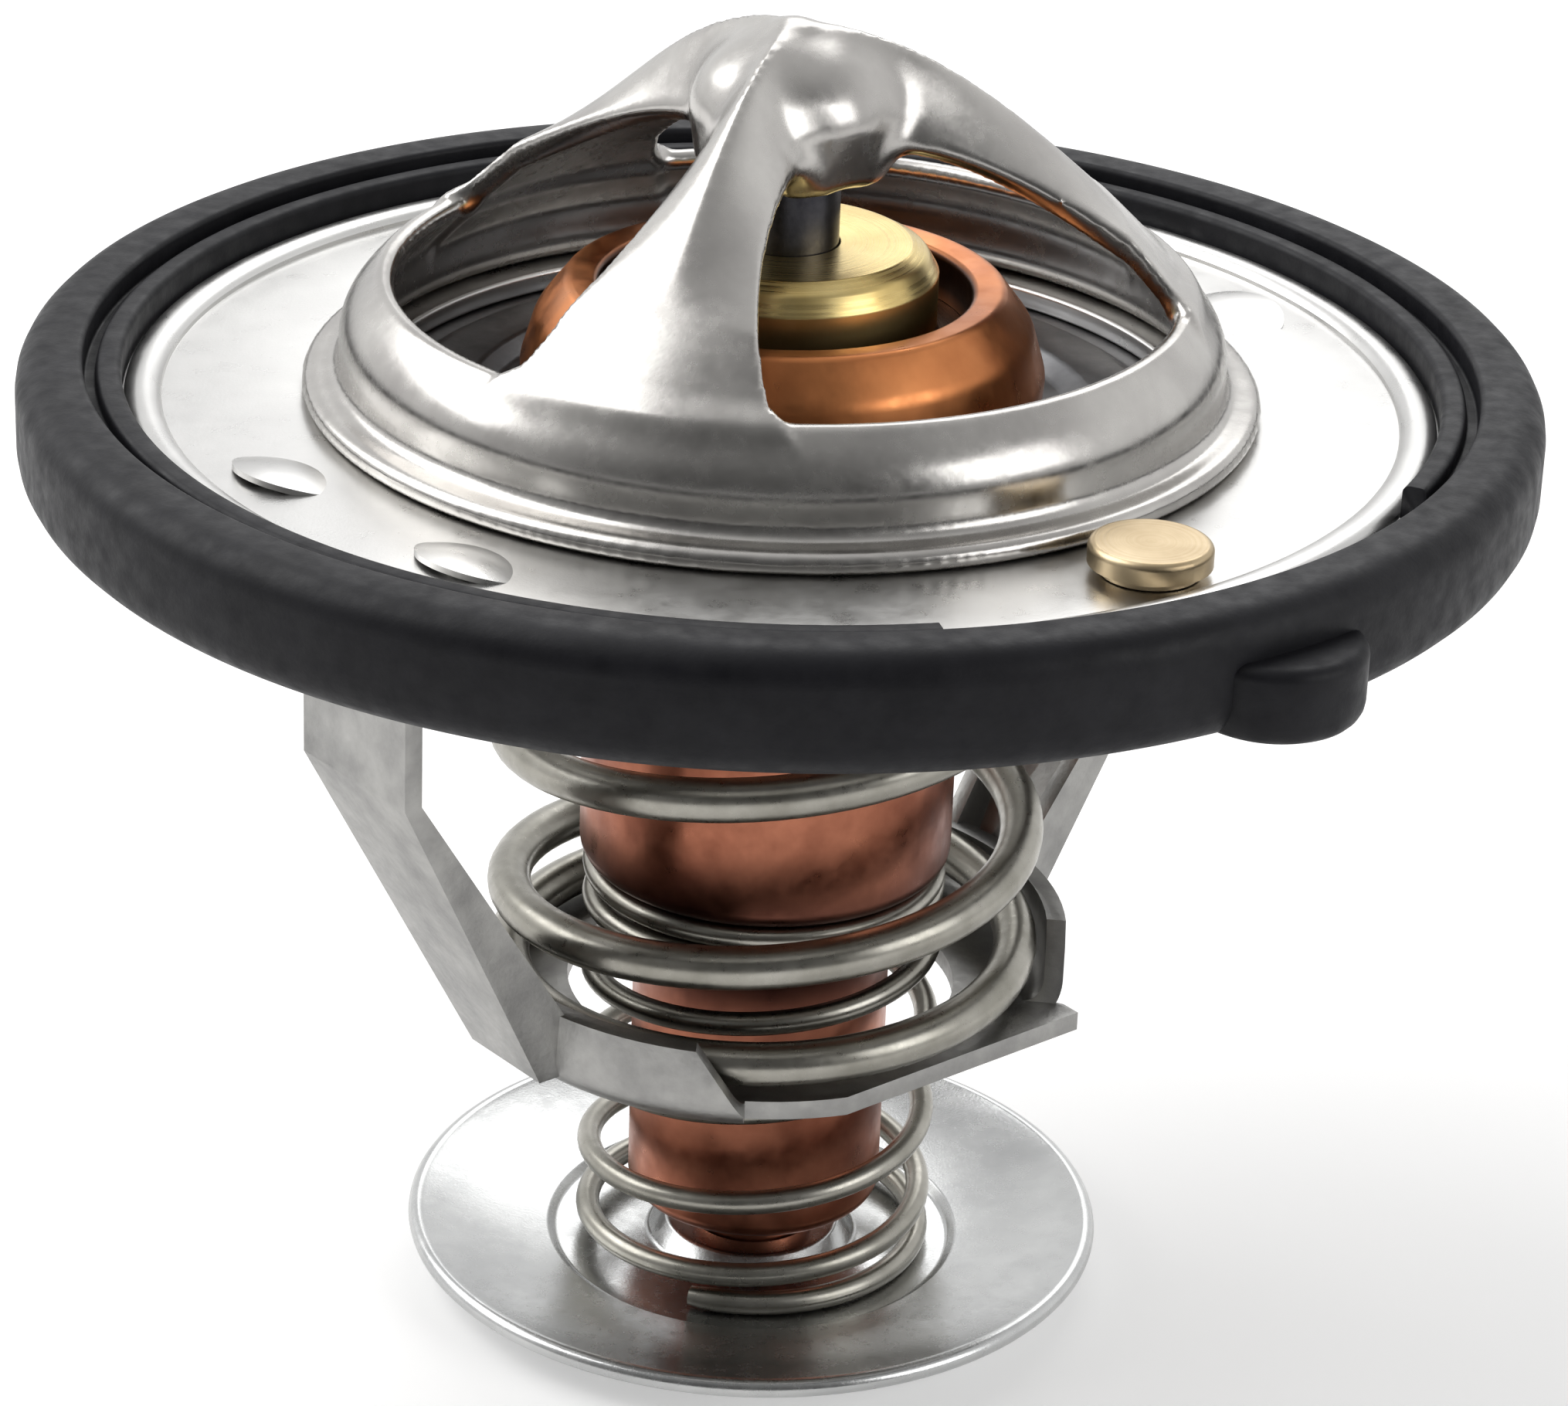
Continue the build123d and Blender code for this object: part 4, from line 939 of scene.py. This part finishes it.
def piston_guide():
    """Turned brass guide with its flange under the collar."""
    base = VALVE_TOP + CASE_WALL
    guide = rounded(
        [
            (GUIDE_RECESS_RADIUS, base, 0),
            (GUIDE_FLANGE_RADIUS - FIT, base, 0),
            (GUIDE_FLANGE_RADIUS - FIT, GUIDE_FLANGE_TOP - FIT, 0.2),
            (GUIDE_RADIUS, GUIDE_FLANGE_TOP - FIT, 0.2),
            (GUIDE_RADIUS, GUIDE_TOP - GUIDE_SHOULDER, 0.25),
            (GUIDE_RADIUS - 0.45, GUIDE_TOP - 0.35, 0.5),
            (GUIDE_RADIUS - GUIDE_SHOULDER, GUIDE_TOP, 0.15),
            (PIN_RADIUS + PIN_GAP, GUIDE_TOP, 0.05),
            (PIN_RADIUS + PIN_GAP, base + GUIDE_RECESS_HEIGHT, 0),
            (GUIDE_RECESS_RADIUS, base + GUIDE_RECESS_HEIGHT, 0),
        ]
    )
    piece("guide_brass", lathe("guide", guide, GUIDE_STEPS), "main_valve", "piston_guide", GUIDE_BRASS)


def piston_pin():
    """Round steel pin with a broken lower edge."""
    pin = rounded(
        [
            (0, PIN_BOTTOM, 0),
            (PIN_RADIUS, PIN_BOTTOM, 0.4),
            (PIN_RADIUS, PIN_TOP, 0.2),
            (0, PIN_TOP, 0),
        ]
    )
    piece("pin_dark", lathe("pin", pin, PIN_STEPS), "housing_side", "piston_pin", PIN_STEEL)


def main_valve_disc():
    """Pressed disc with a raised ring between its hub and its seat."""
    crown = VALVE_TOP + VALVE_CROWN_HEIGHT
    low = VALVE_TOP - VALVE_SHEET
    top = VALVE_TOP - VALVE_SEAT_GAP
    valve = rounded(
        [
            (BODY_RADIUS + FIT, low, 0),
            (VALVE_HUB_RADIUS, low, 0.5),
            (VALVE_HUB_RADIUS + VALVE_SLOPE, low + VALVE_CROWN_HEIGHT, 0.5),
            (VALVE_CROWN_RADIUS - VALVE_SLOPE, low + VALVE_CROWN_HEIGHT, 0.5),
            (VALVE_CROWN_RADIUS, low, 0.5),
            (VALVE_RADIUS, low, 0.3),
            (VALVE_RADIUS, top, 0.3),
            (VALVE_CROWN_RADIUS + VALVE_SLOPE / 2, top, 0.5),
            (VALVE_CROWN_RADIUS - VALVE_SLOPE / 2, crown, 0.5),
            (VALVE_HUB_RADIUS + VALVE_SLOPE / 2, crown, 0.5),
            (VALVE_HUB_RADIUS - VALVE_SLOPE / 2, top, 0.5),
            (BODY_RADIUS + FIT, top, 0),
        ]
    )
    piece("valve_plate", lathe("valve", valve), "main_valve", "main_valve_disc", VALVE_STEEL)


# ---- Springs -------------------------------------------------------------------------

# The wire's ends are thinner over their last rings, so that their edges aren't sharp.
WIRE_SIDES = 20
STEPS_A_TURN = 72
END_ROUNDING = (0.82, 0.95)


def coil_mesh(radius, wire, bottom, top, turns, start, law):
    """Round wire wound like the solid: its pitch grows out of each flat closed end.

    The law holds the closed turns below, the turns of growing and of falling pitch, and the
    closed turns above.
    """
    low = bottom + wire / 2
    rise = top - bottom - wire
    steps = ceil(turns * STEPS_A_TURN)
    climbs = [0.0]
    for step in range(steps):
        turn = turns * (step + 0.5) / steps
        growing = max((turn - law[0]) / law[1], 0.0)
        falling = max((turns - law[3] - turn) / law[2], 0.0)
        climbs.append(climbs[-1] + sin(pi / 2 * min(growing, falling, 1.0)))
    spots = []
    for step, climb in enumerate(climbs):
        angle = radians(start + 360 * turns * step / steps)
        height = low + rise * climb / climbs[-1]
        spots.append(Vector((radius * cos(angle), radius * sin(angle), height)))
    around = [TURN * side / WIRE_SIDES for side in range(WIRE_SIDES)]
    loops = []
    for index, spot in enumerate(spots):
        way = (spots[min(index + 1, steps)] - spots[max(index - 1, 0)]).normalized()
        outward = Vector((spot.x, spot.y, 0)).normalized()
        upward = way.cross(outward).normalized()
        outward = upward.cross(way)
        at_end = min(index, steps - index)
        thick = wire / 2
        if at_end < len(END_ROUNDING):
            thick = thick * END_ROUNDING[at_end]
        loops.append([spot + thick * (outward * cos(a) + upward * sin(a)) for a in around])
    return loops_mesh("spring", loops, False, True)


def springs():
    """Both springs, each on its own body and with its own mesh."""
    wound = coil_mesh(
        SPRING_RADIUS, SPRING_WIRE, SPRING_BOTTOM, SPRING_TOP, SPRING_TURNS, SPRING_START, SPRING_LAW
    )
    main = piece("spring_main", wound, "housing_side", "main_spring", SPRING_STEEL, SPRING_CREASE)
    wound = coil_mesh(
        BYPASS_RADIUS, BYPASS_WIRE, BYPASS_BOTTOM, BYPASS_TOP, BYPASS_TURNS, BYPASS_START, BYPASS_LAW
    )
    small = piece("spring_bypass", wound, "main_valve", "bypass_spring", SPRING_STEEL, SPRING_CREASE)
    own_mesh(main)
    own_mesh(small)


# ---- Bypass disc ---------------------------------------------------------------------


def bypass_disc():
    """Shallow dish with a raised hub, a recessed seat for the spring and a rolled rim."""
    rim_z = DISC_RIM_TOP - DISC_ROLL
    step_r = DISC_RECESS_RADIUS + DISC_STEP
    foot = DISC_HUB_RADIUS + DISC_SHEET
    hub_low = DISC_HUB_TOP - DISC_SHEET
    roll = []
    for step in range(DISC_ROLL_STEPS + 1):
        angle = radians(DISC_ROLL_START + DISC_ROLL_SWEEP * step / DISC_ROLL_STEPS)
        roll.append((DISC_RADIUS - DISC_ROLL + DISC_ROLL * cos(angle), rim_z + DISC_ROLL * sin(angle), 0))
    outline = rounded(
        [
            (STEM_HOLE_RADIUS, hub_low, 0),
            (DISC_HUB_RADIUS, hub_low, 0.3),
            (foot, 0, 0.3),
            (DISC_RECESS_RADIUS, 0, 0.3),
            (step_r, DISC_STEP, 0.3),
        ]
        + roll
        + [
            (step_r, DISC_STEP + DISC_SHEET, 0.2),
            (DISC_RECESS_RADIUS, DISC_SHEET, 0.3),
            (foot + DISC_SHEET / 2, DISC_SHEET, 0.4),
            (DISC_HUB_RADIUS + DISC_SHEET / 2, DISC_HUB_TOP, 0.3),
            (STEM_HOLE_RADIUS, DISC_HUB_TOP, 0.05),
        ]
    )
    return piece("disc_bypass", lathe("disc", outline), "bypass_valve", "bypass_disc", DISC_STEEL)


# ---- Lower frame ---------------------------------------------------------------------


def frame_strip():
    """The folded strip of the solid with its sheared edges broken."""
    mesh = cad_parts["lower_frame"].data.copy()
    mesh.transform(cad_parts["lower_frame"].matrix_world)

    def set_up(obj):
        weld = obj.modifiers.new("weld", "WELD")
        weld.merge_threshold = WELD_DISTANCE
        flat = obj.modifiers.new("flat", "DECIMATE")
        flat.decimate_type = "DISSOLVE"
        flat.angle_limit = radians(2)
        bevel = obj.modifiers.new("bevel", "BEVEL")
        bevel.width = FRAME_BEVEL * MM
        bevel.segments = 3
        bevel.limit_method = "ANGLE"
        bevel.angle_limit = radians(35)

    strip = applied(mesh, set_up)
    return piece("frame_strip", strip, "housing_side", "lower_frame", FRAME_STEEL, FRAME_CREASE)


# ---- Solids that stay ----------------------------------------------------------------

KEPT = {
    "vent_pin": VENT_BRASS,
    "vent_weight": VENT_BRASS,
    "backup_washer": WHITE_PLASTIC,
    "rubber_sleeve": RUBBER,
    "wax_charge": WAX,
    "bypass_stem": COPPER,
    "retaining_clip": SPRING_STEEL,
}


def dress_kept():
    """Gives the solids that stay their finishes."""
    for node, finish in KEPT.items():
        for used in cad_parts[node].material_slots:
            used.material = finish


# ---- Camera, floor and light ---------------------------------------------------------

CAMERA_DISTANCE = 210.55
CAMERA_ELEVATION = 24.59
CAMERA_ROLL = 2.17
CAMERA_TARGET = (0.57, 0.0, 25.61)
CAMERA_LENS = 117.91
SENSOR = 36.0

FLOOR_HALF = 3000.0
FLOOR_COLOUR = (0.86, 0.855, 0.85, 1)
FLOOR_GLOW = 0.34
WORLD_LEVEL = 0.6
# Each fade of the surround: its axis, where it starts and ends, and the level at both.
WORLD_FADES = (("Y", -1.0, 0.35, 0.10, 1.0), ("Z", 0.35, 0.9, 1.0, 0.70))
LAMP_TARGET = (0, 0, 30)


def camera():
    """Camera at the angle, distance and lens worked out for the view."""
    tilt = radians(CAMERA_ELEVATION)
    roll = radians(CAMERA_ROLL)
    back = Vector((0, -cos(tilt), sin(tilt)))
    right = Vector((1, 0, 0))
    up = back.cross(right)
    turned_right = right * cos(roll) + up * sin(roll)
    turned_up = up * cos(roll) - right * sin(roll)
    place = Vector(CAMERA_TARGET) + back * CAMERA_DISTANCE
    data = bpy.data.cameras.new("view")
    data.lens = CAMERA_LENS
    data.sensor_width = SENSOR
    data.clip_start = 0.01
    obj = bpy.data.objects.new("view", data)
    bpy.context.scene.collection.objects.link(obj)
    axes = Matrix((turned_right, turned_up, back)).transposed().to_4x4()
    obj.matrix_world = Matrix.Translation(place * MM) @ axes
    bpy.context.scene.camera = obj


def math_node(tree, operation, a, b):
    """The result of an operation on two values of a node tree; b may be a plain number."""
    made = tree.nodes.new("ShaderNodeMath")
    made.operation = operation
    tree.links.new(a, made.inputs[0])
    if isinstance(b, float):
        made.inputs[1].default_value = b
    else:
        tree.links.new(b, made.inputs[1])
    return made.outputs["Value"]


def seen_directly(tree):
    """1 where a camera, glossy or transmission ray meets the surface, else 0."""
    path = tree.nodes.new("ShaderNodeLightPath")
    total = path.outputs["Is Camera Ray"]
    for name in ("Is Glossy Ray", "Is Transmission Ray"):
        total = math_node(tree, "MAXIMUM", total, path.outputs[name])
    return total


def floor():
    """Pale floor that keeps the shadow and glows a little where it is seen."""
    half = FLOOR_HALF * MM
    corners = [(-half, -half, 0), (half, -half, 0), (half, half, 0), (-half, half, 0)]
    mesh = bpy.data.meshes.new("floor")
    mesh.from_pydata(corners, [], [(0, 1, 2, 3)])
    obj = bpy.data.objects.new("floor", mesh)
    bpy.context.scene.collection.objects.link(obj)
    material = bpy.data.materials.new("floor")
    material.use_nodes = True
    tree = material.node_tree
    shader = tree.nodes["Principled BSDF"]
    shader.inputs["Base Color"].default_value = FLOOR_COLOUR
    shader.inputs["Roughness"].default_value = 0.75
    shader.inputs["Specular IOR Level"].default_value = 0.1
    glow = tree.nodes.new("ShaderNodeEmission")
    glow.inputs["Color"].default_value = (1, 1, 1, 1)
    tree.links.new(math_node(tree, "MULTIPLY", seen_directly(tree), FLOOR_GLOW), glow.inputs["Strength"])
    added = tree.nodes.new("ShaderNodeAddShader")
    tree.links.new(shader.outputs["BSDF"], added.inputs[0])
    tree.links.new(glow.outputs["Emission"], added.inputs[1])
    tree.links.new(added.outputs["Shader"], tree.nodes["Material Output"].inputs["Surface"])
    mesh.materials.append(material)


def surround():
    """Surround that looks plain white but lights and reflects darker in front and overhead."""
    world = bpy.data.worlds.new("studio")
    bpy.context.scene.world = world
    world.use_nodes = True
    tree = world.node_tree
    background = tree.nodes["Background"]
    place = tree.nodes.new("ShaderNodeTexCoord")
    split = tree.nodes.new("ShaderNodeSeparateXYZ")
    tree.links.new(place.outputs["Generated"], split.inputs["Vector"])
    fades = []
    for axis, low, high, at_low, at_high in WORLD_FADES:
        ranged = tree.nodes.new("ShaderNodeMapRange")
        ranged.interpolation_type = "SMOOTHSTEP"
        ranged.inputs["From Min"].default_value = low
        ranged.inputs["From Max"].default_value = high
        ranged.inputs["To Min"].default_value = at_low
        ranged.inputs["To Max"].default_value = at_high
        tree.links.new(split.outputs[axis], ranged.inputs["Value"])
        fades.append(ranged.outputs["Result"])
    camera_ray = tree.nodes.new("ShaderNodeLightPath").outputs["Is Camera Ray"]
    plain = math_node(tree, "MAXIMUM", math_node(tree, "MULTIPLY", *fades), camera_ray)
    tree.links.new(plain, background.inputs["Color"])
    level = tree.nodes.new("ShaderNodeMapRange")
    level.inputs["To Min"].default_value = WORLD_LEVEL
    level.inputs["To Max"].default_value = 1.0
    tree.links.new(seen_directly(tree), level.inputs["Value"])
    tree.links.new(level.outputs["Result"], background.inputs["Strength"])


def lamp(name, place, size, power):
    """A soft square lamp, in millimetres and watts, aimed at the part."""
    data = bpy.data.lights.new(name, "AREA")
    data.shape = "SQUARE"
    data.size = size * MM
    data.energy = power
    obj = bpy.data.objects.new(name, data)
    bpy.context.scene.collection.objects.link(obj)
    way = (Vector(LAMP_TARGET) - Vector(place)).normalized()
    turn = way.to_track_quat("-Z", "Y").to_matrix().to_4x4()
    obj.matrix_world = Matrix.Translation(Vector(place) * MM) @ turn


def lights():
    """Key from the upper left, a weaker fill from the right and a rear lamp."""
    lamp("key", (-300, 90, 360), 420, 1.7)
    lamp("fill", (330, -190, 190), 220, 0.45)
    lamp("rear", (60, 330, 330), 260, 0.4)


# ---- Scene ---------------------------------------------------------------------------

bridge()
flange()
gasket()
element_case()
piston_guide()
piston_pin()
main_valve_disc()
springs()
bypass_disc()
frame_strip()
dress_kept()
camera()
floor()
surround()
lights()
bpy.context.scene.view_settings.view_transform = "Standard"
